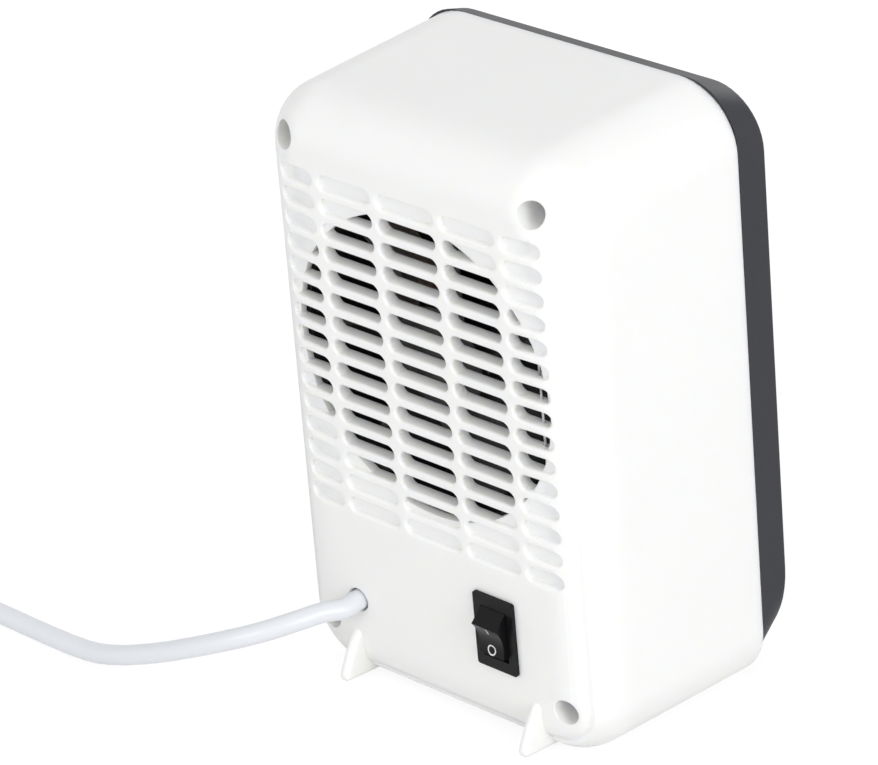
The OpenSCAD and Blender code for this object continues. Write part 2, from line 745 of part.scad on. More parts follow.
module element_strips() color("#c8b27a") {
    for (bar = [0 : bar_count - 1], s = [-1, 1]) {
        block_y(core_w, strip_t, core_y, core_y + core_d, 0, strip_z(bar, s));
        block_y(tab_end_x - core_w / 2 + 1, strip_t, tab_y(s) - tab_w / 2, tab_y(s) + tab_w / 2,
            (tab_end_x + core_w / 2 - 1) / 2, strip_z(bar, s));
    }
}

// Bimetal cut-out and one-shot fuse on top of the frame
cutout_x = 14;
cutout_y = (frame_front_y + frame_back_y) / 2 + 0.75;
frame_top = fan_z + frame_in_h / 2 + frame_wall;
module thermostat_cap() color("#c3c6ca") {
    translate([cutout_x, cutout_y, frame_top]) cylinder(r = 8, h = 2.6);
}
module thermostat_body() color("#3b2f2a") {
    translate([cutout_x, cutout_y, frame_top + 2.6]) {
        cylinder(r = 7.4, h = 6);
        translate([-4, -6, 5.5]) cube([8, 12, 2]);
    }
}
module thermostat_tabs() color("#c8b27a") {
    for (s = [-1, 1]) translate([cutout_x - 2.4, cutout_y + s * 3 - 0.4, frame_top + 10.1])
        cube([4.8, 0.8, 5.4]);
}
fuse_x = -14;
fuse_half = 14;
module thermal_fuse() color("#d7d2c4") {
    translate([fuse_x, cutout_y, frame_top + 2]) rotate([0, 90, 0]) {
        translate([0, 0, -5.5]) cylinder(r = 2, h = 11);
        translate([0, 0, -fuse_half]) cylinder(r = 0.5, h = 2 * fuse_half);
    }
}

// Rocker switch
tub_wall = 0.9;
tub_depth = 13;
pivot_r = 0.7;
pivot_play = 0.06;
rocker_w = 8;
opening_h = 2 * rocker_r + 0.3;
module switch_body() color("#17171a") {
    translate([switch_x, 0, switch_z]) difference() {
        union() {
            slab(0.02, switch_rim) round_rect(switch_w, switch_h, 0.7);
            block_y(switch_tub_w, switch_tub_h, -tub_depth, 0.5);
        }
        block_y(rocker_w + 0.4, opening_h, -tub_depth + 1.2, switch_rim + 1);
        rotate([0, 90, 0]) translate([0, 0, -switch_tub_w / 2 - pivot_play])
            cylinder(r = pivot_r + pivot_play, h = switch_tub_w + 2 * pivot_play);
        for (z = [0, 6]) block_y(4.6, 0.9, -tub_depth - 1, 0, 0, -z);
    }
}
// Rocker as seen from the side, drawn level: a hollow face between two ridges, with sloping ends
face_end = 3.9;
face_sag = 1.2;
face_half = 4.7;
face_r = (face_half * face_half + face_sag * face_sag) / (2 * face_sag);
slope_low = -0.6;
module rocker_shape() {
    intersection() {
        circle(rocker_r);
        difference() {
            polygon([
                [-1.6, -rocker_r], [slope_low, -rocker_r], [face_end, -face_half],
                [face_end, face_half], [slope_low, rocker_r], [-1.6, rocker_r]
            ]);
            translate([face_end - face_sag + face_r, 0]) circle(face_r, $fn = 160);
        }
    }
}
module at_pivot(tilt) {
    translate([switch_x, 0, switch_z]) rotate([tilt, 0, 0]) children();
}
module switch_rocker() color("#1c1c20") {
    at_pivot(-rocker_tilt) difference() {
        union() {
            rotate([90, 0, 90]) translate([0, 0, -rocker_w / 2]) linear_extrude(rocker_w) rocker_shape();
            rotate([0, 90, 0]) translate([0, 0, -switch_tub_w / 2]) cylinder(r = pivot_r, h = switch_tub_w);
            bar_y(1.9, -4, 0);
        }
        bar_y(1.2, -5, -1.4);
    }
}
plunger_end = -8.05;
module switch_plunger() color("#c8cace") {
    at_pivot(-rocker_tilt) bar_y(1.2, plunger_end, -1.5);
}
blade_y = -9;
blade_t = 0.5;
blade_ratio = 0.6;
module switch_blade() color("#c8a35a") {
    translate([switch_x, blade_y, switch_z]) rotate([rocker_tilt * blade_ratio, 0, 0]) {
        translate([-2, -blade_t / 2, -7]) cube([4, blade_t, 14]);
        rotate([0, 90, 0]) translate([0, 0, -2]) cylinder(r = 0.6, h = 4);
    }
}
terminal_end = -22;
module switch_terminals() color("#c8a35a") {
    translate([switch_x, 0, switch_z]) {
        block_y(4.5, 0.8, terminal_end, blade_y - 0.7, 0, 0);
        block_y(4.5, 0.8, terminal_end, blade_y - 1.25, 0, -6);
    }
}

// Lead clamp inside the shell
module cord_clamp() color("#e9e8e2") {
    difference() {
        translate([cord_x - clamp_w / 2, clamp_y - clamp_depth / 2, cord_z + cord_d / 2 - 1.2])
            cube([clamp_w, clamp_depth, clamp_t + 1.2]);
        bar_y(cord_d / 2 + 0.02, clamp_y - 10, clamp_y + 10, cord_x, cord_z);
        for (s = [-1, 1]) translate([cord_x + s * clamp_screw_dx, clamp_y, cord_z])
            cylinder(r = 1.2 + touch, h = 12);
    }
}
module clamp_screws() color("#b8bac0") {
    for (s = [-1, 1]) translate([cord_x + s * clamp_screw_dx, clamp_y, cord_z + cord_d / 2 + clamp_t]) {
        cylinder(r = 2.2, h = 1.6);
        translate([0, 0, -clamp_t - clamp_screw_len + 0.5])
            cylinder(r = 1.2, h = clamp_t + clamp_screw_len);
    }
}
tail_end_y = -18;
exit_y = 1.5;
module cord_tail() color("#eef0f4") bar_y(cord_d / 2, tail_end_y, exit_y, cord_x, cord_z);

// Tubes swept along a route
function unit(v) = v / norm(v);
function catmull(a, b, c, d, t) = 0.5 * (2 * b + (c - a) * t + (2 * a - 5 * b + 4 * c - d) * t * t
    + (3 * b - a - 3 * c + d) * t * t * t);
// a smooth line through the points, each stretch cut into steps
function smooth(p, steps) = let (n = len(p)) concat([for (i = [0 : n - 2], k = [0 : steps - 1])
    catmull(p[max(i - 1, 0)], p[i], p[i + 1], p[min(i + 2, n - 1)], k / steps)], [p[n - 1]]);
function length(p) = len(p) < 2 ? 0 : let (s = [for (i = [1 : len(p) - 1]) norm(p[i] - p[i - 1])])
    s * [for (v = s) 1];
function heading(p, i) = unit(p[min(i + 1, len(p) - 1)] - p[max(i - 1, 0)]);
// ends may be given their own headings, so that they meet their neighbours squarely
module tube(p, r, sides, up = [0, 0, 1], first = undef, last = undef) {
    n = len(p);
    rings = [for (i = [0 : n - 1])
        let (
            t = i == 0 && first != undef ? unit(first)
                : i == n - 1 && last != undef ? unit(last) : heading(p, i),
            a = unit(cross(t, up)),
            b = cross(a, t)
        )
        for (k = [0 : sides - 1]) p[i] + r * (cos(360 * k / sides) * a + sin(360 * k / sides) * b)];
    polyhedron(points = concat(rings, [p[0], p[n - 1]]), faces = concat(
        [for (i = [0 : n - 2], k = [0 : sides - 1]) let (m = (k + 1) % sides)
            [i * sides + k, (i + 1) * sides + m, (i + 1) * sides + k]],
        [for (i = [0 : n - 2], k = [0 : sides - 1]) let (m = (k + 1) % sides)
            [i * sides + k, i * sides + m, (i + 1) * sides + m]],
        [for (k = [0 : sides - 1]) [k, n * sides, (k + 1) % sides]],
        [for (k = [0 : sides - 1]) [(n - 1) * sides + (k + 1) % sides, n * sides + 1, (n - 1) * sides + k]]
    ));
}

// Insulated leads inside the body
lead_r = 1.1;
lead_sides = 8;
switch_back = terminal_end - 0.05;
tail_face = tail_end_y - 0.05;
tab_side_x = tab_end_x + 0.05;
splice = [35, duct_front_y - frame_back_t - 4, 36];
splice_r = 2.6;
splice_h = 9;
side_x = tab_end_x + lead_r + touch;
left_x = 6.2 - body_w / 2;
function tab_z(bar, s) = strip_z(bar, s);
live_route = [[cord_x - 1.5, tail_face, cord_z], [cord_x - 1.5, tail_face - 5, cord_z],
    [cord_x - 6, -29, cord_z], [10, -31, 26], [-8, -31, 26], [-17, -29, 26],
    [switch_x, -26, switch_z - 6], [switch_x, switch_back, switch_z - 6]];
supply_route = [[cord_x + 1.5, tail_face, cord_z], [cord_x + 1.5, tail_face - 5, cord_z],
    [splice[0] - 1, splice[1] + 3, splice[2] - 9], [splice[0], splice[1], splice[2] - 5],
    splice - [0, 0, touch]];
splice_top = splice[2] + splice_h;
frame_low = fan_z - frame_in_h / 2;
neutral_route = [splice + [1.2, 0, splice_h + touch],
    [splice[0] + 1.4, splice[1] - 1, splice_top + 0.23 * (frame_low - splice_top)],
    [side_x - 3, tab_y(-1) + 8, splice_top + 0.46 * (frame_low - splice_top)],
    [side_x, tab_y(-1), tab_z(0, -1) - 8],
    [side_x, tab_y(-1), tab_z(0, -1) - 2], [side_x, tab_y(-1), tab_z(1, -1)],
    [side_x, tab_y(-1), tab_z(2, -1) + 2]];
switched_route = [[switch_x, switch_back, switch_z], [switch_x, -26, switch_z], [-32, -33, 40],
    [left_x + 1.8, -37, frame_low - 11.7], [left_x, cutout_y + 6, fan_z - 24.7],
    [left_x, cutout_y + 4, fan_z + 20.3], [left_x + 3.8, cutout_y + 4, frame_top + 3.5],
    [left_x + 13.8, cutout_y + 2, frame_top + 4], [fuse_x - fuse_half - 3, cutout_y, frame_top + 2],
    [fuse_x - fuse_half - touch, cutout_y, frame_top + 2]];
tab_top = frame_top + 13;
fuse_route = [[fuse_x + fuse_half + touch, cutout_y, frame_top + 2],
    [fuse_x + fuse_half + 2.5, cutout_y + 0.5, frame_top + 3],
    [cutout_x - 9.6, cutout_y + 2, frame_top + 8], [cutout_x - 6, cutout_y + 3, tab_top - 1],
    [cutout_x - 2.4 - touch, cutout_y + 3, tab_top]];
heater_route = [[cutout_x + 2.4 + touch, cutout_y - 3, tab_top], [cutout_x + 8, cutout_y - 3, tab_top],
    [cutout_x + 20, cutout_y - 4, frame_top + 9], [side_x - 2.65, tab_y(1) + 2, frame_top],
    [side_x, tab_y(1), tab_z(2, 1) + 8], [side_x, tab_y(1), tab_z(2, 1) + 2],
    [side_x, tab_y(1), tab_z(1, 1)], [side_x, tab_y(1), tab_z(0, 1) - 2]];
motor_y = can_front_y - lead_r - 0.3;
pair_x = 2 * lead_r;
function motor_route(s) = concat([[s * motor_tab_x, motor_y, fan_z - 1.5 - touch],
    [s * motor_tab_x, motor_y, fan_z - 8], [s * 6, motor_y + 1, frame_low + 12],
    [s * pair_x, lead_hole_y, frame_low + 5], [s * pair_x, lead_hole_y, frame_low - 6]],
    s < 0 ? [[-9, -40, frame_low - 18.7], [switch_x + 9, -26, switch_z + 3], [switch_x + 6, -20, switch_z],
        [switch_x + 2.25 + touch, -20, switch_z]]
    : [[12, -42, splice_top + 0.5 * (frame_low - splice_top)],
        [26, -38, splice_top + 0.5 * (frame_low - splice_top)],
        [splice[0] - 2, splice[1] - 1, splice_top + 0.27 * (frame_low - splice_top)],
        splice + [-1.2, 0, splice_h + touch]]);

module lead(route, up = [0, 0, 1], first = undef, last = undef)
    tube(smooth(route, 3), lead_r, lead_sides, up, first, last);
module live_lead() color("#7a4a2c") lead(live_route, first = [0, -1, 0], last = [0, 1, 0]);
module neutral_lead() color("#3d6db5") lead(neutral_route, [0, 1, 0.2], first = [0, 0, 1]);
module switched_lead() color("#7a4a2c")
    lead(switched_route, [0, 1, 0.3], first = [0, -1, 0], last = [1, 0, 0]);
module heater_lead() color("#7a4a2c") lead(heater_route, [0, 1, 0.2], first = [1, 0, 0]);
module fuse_lead() color("#7a4a2c")
    lead(fuse_route, [0, 1, 0.2], first = [1, 0, 0], last = [1, 0, 0]);
module supply_lead() color("#3d6db5")
    lead(supply_route, [0, 1, 0.2], first = [0, -1, 0], last = [0, 0, 1]);
module motor_leads() color("#b02a2a") for (s = [-1, 1])
    lead(motor_route(s), s < 0 ? [1, 1, -0.2] : [0.1, 1, 0], first = [0, 0, -1],
        last = s < 0 ? [-1, 0, 0] : [0, 0, -1]);
module lead_splice() color("#d9d2bd") translate(splice) cylinder(r = splice_r, h = splice_h);

// The free lead, on the floor behind and beside the heater
exit_point = stand([cord_x, exit_y, cord_z]);
exit_way = [0, cos(lean), -sin(lean)];
floor_z = cord_d / 2;
layer = cord_d + coil_gap;
lane_y = 68.7;
coil_out_r = coil_in_r + coil_turns * layer;
coil_x = 228;
coil_y = lane_y - coil_out_r;
cord_route = [exit_point, exit_point + 4 * exit_way, [32.2, 41.5, 23.6], [35, 48, 22.8], [41, 56, 20.5],
    [53.4, 62.3, 15.5], [68.2, 66, 9.5], [83.4, 68.3, 4.6], [98, lane_y, floor_z], [128, lane_y, floor_z],
    [158, lane_y, floor_z], [188, lane_y, floor_z], [208, lane_y, floor_z],
    [coil_x - cord_d, lane_y, floor_z]];
module power_cord() color("#eef0f4")
    tube(smooth(cord_route, 2), cord_d / 2, 10, first = exit_way, last = [1, 0, 0]);

// The coil winds in on the floor, climbs one layer in half a turn and winds out on top
climb = 0.5;
coil_end = 2 * coil_turns;
function coil_r(t) = t < coil_turns ? coil_out_r - layer * t
    : t < coil_turns + climb ? let (u = t - coil_turns) coil_in_r - layer * u * (1 - u / climb)
    : coil_in_r + layer * (t - coil_turns - climb);
function coil_z(t) = floor_z + layer * min(max((t - coil_turns) / climb, 0), 1);
function coil_point(t) = [coil_x + coil_r(t) * sin(360 * t), coil_y + coil_r(t) * cos(360 * t), coil_z(t)];
coil_rings = 24;
coil_path = [for (i = [0 : coil_end * coil_rings]) coil_point(i / coil_rings)];
coil_start = coil_path[0] - [cord_d, 0, 0];
coil_stop = coil_path[len(coil_path) - 1] + [cord_d, 0, 0];
coil_line = concat([coil_start], coil_path, [coil_stop]);
coil_least = min([for (i = [0 : len(coil_path) - 1], k = [i + coil_rings / 2 : len(coil_path) - 1])
    norm(coil_path[i] - coil_path[k])]) - cord_d;
echo(coil_least_gap = coil_least, coil_length = length(coil_line),
    cord_length = length(smooth(cord_route, 2)));
module power_cord_coil() color("#eef0f4")
    tube(coil_line, cord_d / 2, 6, first = [1, 0, 0], last = [1, 0, 0]);

// Plug with two round pins, lying on its flat side
plug_w = 36;
plug_h = 26;
plug_x = 290;
relief_y = 34;
plug_z = plug_h / 2;
plug_back_y = relief_y - relief_len;
plug_face_y = plug_back_y - plug_len;
pin_gap = 19;
end_route = [coil_stop, coil_stop + [7, 0, 0], coil_stop + [15, -0.3, -0.8], [260, lane_y - 3.6, 6.2],
    [269, lane_y - 6, 3.9], [277.5, lane_y - 11.5, 3.2], [284, lane_y - 18.5, 5.5],
    [288.5, lane_y - 26, 9.6], [plug_x, relief_y + 4, 12.7], [plug_x, relief_y, plug_z]];
module power_cord_end() color("#eef0f4")
    tube(smooth(end_route, 2), cord_d / 2, 10, first = [1, 0, 0], last = [0, -1, 0]);
module plug_body() color("#f2f2f0") translate([plug_x, 0, plug_z]) {
    difference() {
        intersection() {
            slab(plug_face_y, plug_back_y + 1) round_rect(plug_w, plug_h, 11.5);
            translate([0, 0, -plug_h]) linear_extrude(2 * plug_h) {
                translate([0, (plug_face_y + plug_back_y) / 2]) round_rect(plug_w, plug_len, 9);
                translate([0, plug_face_y + 5]) square([plug_w - 3, 10], center = true);
            }
        }
        for (s = [-1, 1]) bar_y(pin_r - 0.4, plug_face_y - 1, plug_face_y + 6, s * pin_gap / 2, 0);
    }
    difference() {
        translate([0, relief_y, 0]) rotate([90, 0, 0]) cylinder(r1 = 4.2, r2 = 8.5, h = relief_len + 1);
        for (i = [0 : 4]) translate([0, relief_y - 4 - 3 * i, 0]) rotate([90, 0, 0]) difference() {
            cylinder(r = 12, h = 1.2);
            cylinder(r = 3.6 + 0.5 * i, h = 4, center = true);
        }
    }
}
module plug_pins() color("#c8b27a") translate([plug_x, 0, plug_z]) for (s = [-1, 1]) {
    bar_y(pin_r - 0.4, plug_face_y - eps, plug_face_y + 6, s * pin_gap / 2, 0);
    bar_y(pin_r, plug_face_y - pin_len + 2, plug_face_y, s * pin_gap / 2, 0);
    translate([s * pin_gap / 2, plug_face_y - pin_len + 2, 0]) rotate([90, 0, 0])
        cylinder(r1 = pin_r, r2 = pin_r - 0.9, h = 2);
}

place() rear_housing();
place() front_bezel();
place() outlet_grille();
place() case_screws();
place() fan_duct();
place() fan_impeller();
place() motor_can();
place() motor_magnets();
place() motor_rotor();
place() rotor_windings();
place() motor_commutator();
place() motor_shaft();
place() motor_rear_bush();
place() motor_front_bush();
place() motor_end_cap();
place() motor_screws();
place() heater_frame();
place() frame_screws();
place() element_end_blocks();
place() element_fins();
place() element_stones();
place() element_strips();
place() thermostat_body();
place() thermostat_cap();
place() thermostat_tabs();
place() thermal_fuse();
place() switch_body();
place() switch_rocker();
place() switch_plunger();
place() switch_blade();
place() switch_terminals();
place() cord_clamp();
place() clamp_screws();
place() cord_tail();
place() live_lead();
place() neutral_lead();
place() switched_lead();
place() heater_lead();
place() motor_leads();
place() fuse_lead();
place() supply_lead();
place() lead_splice();
power_cord();
power_cord_coil();
power_cord_end();
plug_body();
plug_pins();
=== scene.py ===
# %% [markdown]
# A small ceramic fan heater, seen from behind in use. The solids come in as a fixed frame, in
# metres, and everything below is dressed around them: a smooth moulded shell, a charcoal bezel,
# a louvred outlet, a rocker switch and a white mains lead with its plug.
# The body leans back a little on its flat underside. Each new piece is drawn upright, with the
# back wall on y = 0, and is then leaned and set down, because upright numbers are easy to read.

# %% Load the solids
import json
import math

import bmesh
import bpy
from mathutils import Matrix, Vector

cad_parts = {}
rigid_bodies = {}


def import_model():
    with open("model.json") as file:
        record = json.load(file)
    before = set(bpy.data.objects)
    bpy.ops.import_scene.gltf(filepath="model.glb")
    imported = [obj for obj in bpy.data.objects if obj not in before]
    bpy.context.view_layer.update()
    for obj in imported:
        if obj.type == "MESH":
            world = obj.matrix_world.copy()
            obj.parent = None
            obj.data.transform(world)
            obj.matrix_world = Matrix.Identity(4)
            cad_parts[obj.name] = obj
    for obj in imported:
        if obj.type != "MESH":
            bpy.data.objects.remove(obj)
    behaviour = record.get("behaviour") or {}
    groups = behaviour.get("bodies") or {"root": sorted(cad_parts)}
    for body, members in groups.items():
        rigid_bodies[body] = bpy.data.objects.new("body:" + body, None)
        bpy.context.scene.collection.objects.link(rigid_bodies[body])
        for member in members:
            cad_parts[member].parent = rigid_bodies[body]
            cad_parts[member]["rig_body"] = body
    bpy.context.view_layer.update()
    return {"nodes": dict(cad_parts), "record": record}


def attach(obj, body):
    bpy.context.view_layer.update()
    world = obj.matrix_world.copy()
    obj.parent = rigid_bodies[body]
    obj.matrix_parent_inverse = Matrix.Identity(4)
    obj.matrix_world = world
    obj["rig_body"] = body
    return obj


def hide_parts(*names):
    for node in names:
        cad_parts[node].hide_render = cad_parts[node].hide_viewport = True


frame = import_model()
nodes = frame["nodes"]
mm = 0.001

# %% [markdown]
# The photograph was taken with a long lens from behind, above and to the left. Its camera is given
# by where it stands and by the three directions of its picture, which fill a rotation matrix.

# %% Camera
camera_data = bpy.data.cameras.new("camera")
camera_data.lens = 184.5
camera_data.sensor_width = 36
camera_data.clip_start = 0.05
camera_data.clip_end = 50
camera = bpy.data.objects.new("camera", camera_data)
bpy.context.scene.collection.objects.link(camera)
look = Vector((0.6190, -0.6652, -0.4176)).normalized()
picture_up = Vector((0.2689, -0.3201, 0.9084))
picture_right = look.cross(picture_up).normalized()
picture_up = picture_right.cross(look)
turn = Matrix((picture_right, picture_up, -look)).transposed()
camera.matrix_world = Matrix.Translation((-0.6854, 0.7669, 0.5563)) @ turn.to_4x4()
bpy.context.scene.camera = camera
bpy.context.view_layer.update()

# %% [markdown]
# The lead is a real length of flexible cord. It leaves the back of the shell, sinks to the table in
# one easy bend and runs off to the side. What is left over lies in a neat coil of two layers: it
# winds in on the table, climbs in half a turn and winds out again on top. The route is the one that
# the solids follow, and a curve with a round profile makes the finest tube from it.

# %% Route of the lead
LEAN = math.radians(5.15)
low = 2.7
cord_d = 2 * low * mm
layer = 5.9 * mm
lane_y = 68.7 * mm
coil_in_r = 22.5 * mm
coil_turns = 3
coil_out_r = coil_in_r + coil_turns * layer
coil_x = 228 * mm
coil_y = lane_y - coil_out_r
floor_z = cord_d / 2


def smooth_line(points, steps):
    """A smooth line through the points, each stretch cut into steps."""
    p = [Vector(q) for q in points]
    line = []
    for i in range(len(p) - 1):
        a, b = p[max(i - 1, 0)], p[i]
        c, d = p[i + 1], p[min(i + 2, len(p) - 1)]
        for k in range(steps):
            t = k / steps
            line.append(0.5 * (2 * b + (c - a) * t + (2 * a - 5 * b + 4 * c - d) * t * t
                               + (3 * b - a - 3 * c + d) * t * t * t))
    return line + [p[-1]]


def coil_point(t):
    """Where the middle of the cord is after t turns of the coil."""
    r = coil_in_r + layer * (t - coil_turns - 0.5)
    z = floor_z + layer
    if t < coil_turns:
        r = coil_out_r - layer * t
        z = floor_z
    elif t < coil_turns + 0.5:
        u = t - coil_turns
        r = coil_in_r - layer * u * (1 - 2 * u)
        z = floor_z + layer * 2 * u
    a = 2 * math.pi * t
    return Vector((coil_x + r * math.sin(a), coil_y + r * math.cos(a), z))


exit_point = Vector((29.3, 32.5522, 23.9677)) * mm
exit_way = Vector((0, math.cos(LEAN), -math.sin(LEAN)))
lane = lane_y / mm
run = [exit_point / mm, exit_point / mm + 4 * exit_way, (32.2, 41.5, 23.6), (35, 48, 22.8),
       (41, 56, 20.5), (53.4, 62.3, 15.5), (68.2, 66, 9.5), (83.4, 68.3, 4.6), (98, lane, low),
       (128, lane, low), (158, lane, low), (188, lane, low), (208, lane, low),
       (coil_x / mm - 2 * low, lane, low)]
turn_points = 48
coil = [coil_point(i / turn_points) for i in range(2 * coil_turns * turn_points + 1)]
stop = coil[-1] / mm + Vector((2 * low, 0, 0))
plug_x = 290
relief_y = 34
tail = [stop, stop + Vector((7, 0, 0)), stop + Vector((15, -0.3, -0.8)), (260, lane - 3.6, 6.2),
        (269, lane - 6, 3.9), (277.5, lane - 11.5, 3.2), (284, lane - 18.5, 5.5),
        (288.5, lane - 26, 9.6), (plug_x, relief_y + 4, 12.7), (plug_x, relief_y, 13)]
steps = 3
route = ([q * mm for q in smooth_line(run, steps)] + coil
         + [q * mm for q in smooth_line(tail, steps)])

# %% Lead
cord_curve = bpy.data.curves.new("mains_lead", "CURVE")
cord_curve.dimensions = "3D"
spline = cord_curve.splines.new("POLY")
spline.points.add(len(route) - 1)
for point, place in zip(spline.points, route):
    point.co = (*place, 1)
    point.radius = cord_d / 2
cord_curve.bevel_depth = 1
cord_curve.bevel_resolution = 7
cord_curve.use_fill_caps = True
mains_lead = bpy.data.objects.new("mains_lead", cord_curve)
bpy.context.scene.collection.objects.link(mains_lead)
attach(mains_lead, "heater")
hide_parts("power_cord", "power_cord_coil", "power_cord_end")

# %% [markdown]
# Finishes come before the pieces, so that each piece can be dressed as it is made. Moulded plastic
# is never quite flat: its skin has a fine spark-eroded grain, its sheen drifts a little from place
# to place, and handling leaves it faintly uneven. One node group makes that skin, and every plastic
# here places it with its own colour, grain and sheen.

# %% Group for a moulded skin
def new_group(name, inputs, outputs):
    """An empty shader node group with named sockets."""
    group = bpy.data.node_groups.new(name, "ShaderNodeTree")
    for label, kind, value in inputs:
        socket = group.interface.new_socket(name=label, in_out="INPUT", socket_type=kind)
        if value is not None:
            socket.default_value = value
    for label, kind in outputs:
        group.interface.new_socket(name=label, in_out="OUTPUT", socket_type=kind)
    return group, group.nodes.new("NodeGroupInput"), group.nodes.new("NodeGroupOutput")


skin, skin_in, skin_out = new_group(
    "Moulded skin",
    [("Color", "NodeSocketColor", (0.8, 0.8, 0.8, 1)), ("Drift", "NodeSocketFloat", 0.03),
     ("Roughness", "NodeSocketFloat", 0.5), ("Grain scale", "NodeSocketFloat", 2500),
     ("Grain depth", "NodeSocketFloat", 0.1)],
    [("Color", "NodeSocketColor"), ("Roughness", "NodeSocketFloat"), ("Normal", "NodeSocketVector")])
where = skin.nodes.new("ShaderNodeTexCoord")
cloud = skin.nodes.new("ShaderNodeTexNoise")
cloud.inputs["Scale"].default_value = 28
cloud.inputs["Detail"].default_value = 4
fine = skin.nodes.new("ShaderNodeTexNoise")
fine.inputs["Detail"].default_value = 2
darker = skin.nodes.new("ShaderNodeMath")
darker.operation = "MULTIPLY"
tint = skin.nodes.new("ShaderNodeMix")
tint.data_type = "RGBA"
tint.blend_type = "MULTIPLY"
tint.inputs["B"].default_value = (0.35, 0.35, 0.33, 1)
sheen = skin.nodes.new("ShaderNodeMath")
sheen.operation = "MULTIPLY_ADD"
sheen.inputs[1].default_value = 0.16
bump = skin.nodes.new("ShaderNodeBump")
bump.inputs["Distance"].default_value = 0.00012
offset = skin.nodes.new("ShaderNodeMath")
offset.operation = "SUBTRACT"
offset.inputs[1].default_value = 0.08
for a, b in [
    (where.outputs["Object"], cloud.inputs["Vector"]),
    (where.outputs["Object"], fine.inputs["Vector"]),
    (skin_in.outputs["Grain scale"], fine.inputs["Scale"]),
    (cloud.outputs["Fac"], darker.inputs[0]),
    (skin_in.outputs["Drift"], darker.inputs[1]),
    (darker.outputs[0], tint.inputs["Factor"]),
    (skin_in.outputs["Color"], tint.inputs["A"]),
    (tint.outputs["Result"], skin_out.inputs["Color"]),
    (skin_in.outputs["Roughness"], offset.inputs[0]),
    (cloud.outputs["Fac"], sheen.inputs[0]),
    (offset.outputs[0], sheen.inputs[2]),
    (sheen.outputs[0], skin_out.inputs["Roughness"]),
    (fine.outputs["Fac"], bump.inputs["Height"]),
    (skin_in.outputs["Grain depth"], bump.inputs["Strength"]),
    (bump.outputs["Normal"], skin_out.inputs["Normal"]),
]:
    skin.links.new(a, b)

# %% [markdown]
# Drawn and stamped metal shows lines along the way it was worked. A noise stretched along one axis
# gives those lines, for the colour, the sheen and a very shallow bump.

# %% Group for worked metal
worked, worked_in, worked_out = new_group(
    "Worked metal",
    [("Color", "NodeSocketColor", (0.6, 0.6, 0.6, 1)), ("Roughness", "NodeSocketFloat", 0.3),
     ("Lines", "NodeSocketFloat", 0.4)],
    [("Color", "NodeSocketColor"), ("Roughness", "NodeSocketFloat"), ("Normal", "NodeSocketVector")])
m_where = worked.nodes.new("ShaderNodeTexCoord")
stretch = worked.nodes.new("ShaderNodeMapping")
stretch.inputs["Scale"].default_value = (900, 60, 900)
lines = worked.nodes.new("ShaderNodeTexNoise")
lines.inputs["Scale"].default_value = 1
lines.inputs["Detail"].default_value = 3
m_darker = worked.nodes.new("ShaderNodeMath")
m_darker.operation = "MULTIPLY"
m_tint = worked.nodes.new("ShaderNodeMix")
m_tint.data_type = "RGBA"
m_tint.blend_type = "MULTIPLY"
m_tint.inputs["B"].default_value = (0.55, 0.54, 0.52, 1)
m_rough = worked.nodes.new("ShaderNodeMath")
m_rough.operation = "MULTIPLY_ADD"
m_rough.inputs[1].default_value = 0.2
m_bump = worked.nodes.new("ShaderNodeBump")
m_bump.inputs["Distance"].default_value = 0.00004
m_bump.inputs["Strength"].default_value = 0.3
for a, b in [
    (m_where.outputs["Object"], stretch.inputs["Vector"]),
    (stretch.outputs["Vector"], lines.inputs["Vector"]),
    (lines.outputs["Fac"], m_darker.inputs[0]),
    (worked_in.outputs["Lines"], m_darker.inputs[1]),
    (m_darker.outputs[0], m_tint.inputs["Factor"]),
    (worked_in.outputs["Color"], m_tint.inputs["A"]),
    (m_tint.outputs["Result"], worked_out.inputs["Color"]),
    (lines.outputs["Fac"], m_rough.inputs[0]),
    (worked_in.outputs["Roughness"], m_rough.inputs[2]),
    (m_rough.outputs[0], worked_out.inputs["Roughness"]),
    (lines.outputs["Fac"], m_bump.inputs["Height"]),
    (m_bump.outputs["Normal"], worked_out.inputs["Normal"]),
]:
    worked.links.new(a, b)


# %% [markdown]
# Each material is a Principled shader with one of the groups in front of it. Numbers that are the
# same all over the surface stay on the shader's own sockets.

# %% Plastics and metals
def new_material(name, group, values, sockets):
    """A material whose colour, roughness and normal come from a placed group."""
    material = bpy.data.materials.new(name)
    material.use_nodes = True
    shader = material.node_tree.nodes["Principled BSDF"]
    made = material.node_tree.nodes.new("ShaderNodeGroup")
    made.node_tree = group
    made.location = (-300, 200)
    for key, value in values.items():
        made.inputs[key].default_value = value
    for key, value in sockets.items():
        shader.inputs[key].default_value = value
    for a, b in (("Color", "Base Color"), ("Roughness", "Roughness"), ("Normal", "Normal")):
        material.node_tree.links.new(made.outputs[a], shader.inputs[b])
    return material


def plastic(name, color, roughness, grain=0.1, drift=0.05, scale=2500, **sockets):
    """Moulded plastic; further sockets go straight to the shader."""
    values = {"Color": (*color, 1), "Roughness": roughness, "Grain depth": grain, "Drift": drift,
              "Grain scale": scale}
    return new_material(name, skin, values, sockets)


def metal(name, color, roughness, line=0.4):
    """Drawn or stamped metal with its lines of working."""
    values = {"Color": (*color, 1), "Roughness": roughness, "Lines": line}
    return new_material(name, worked, values, {"Metallic": 1.0})


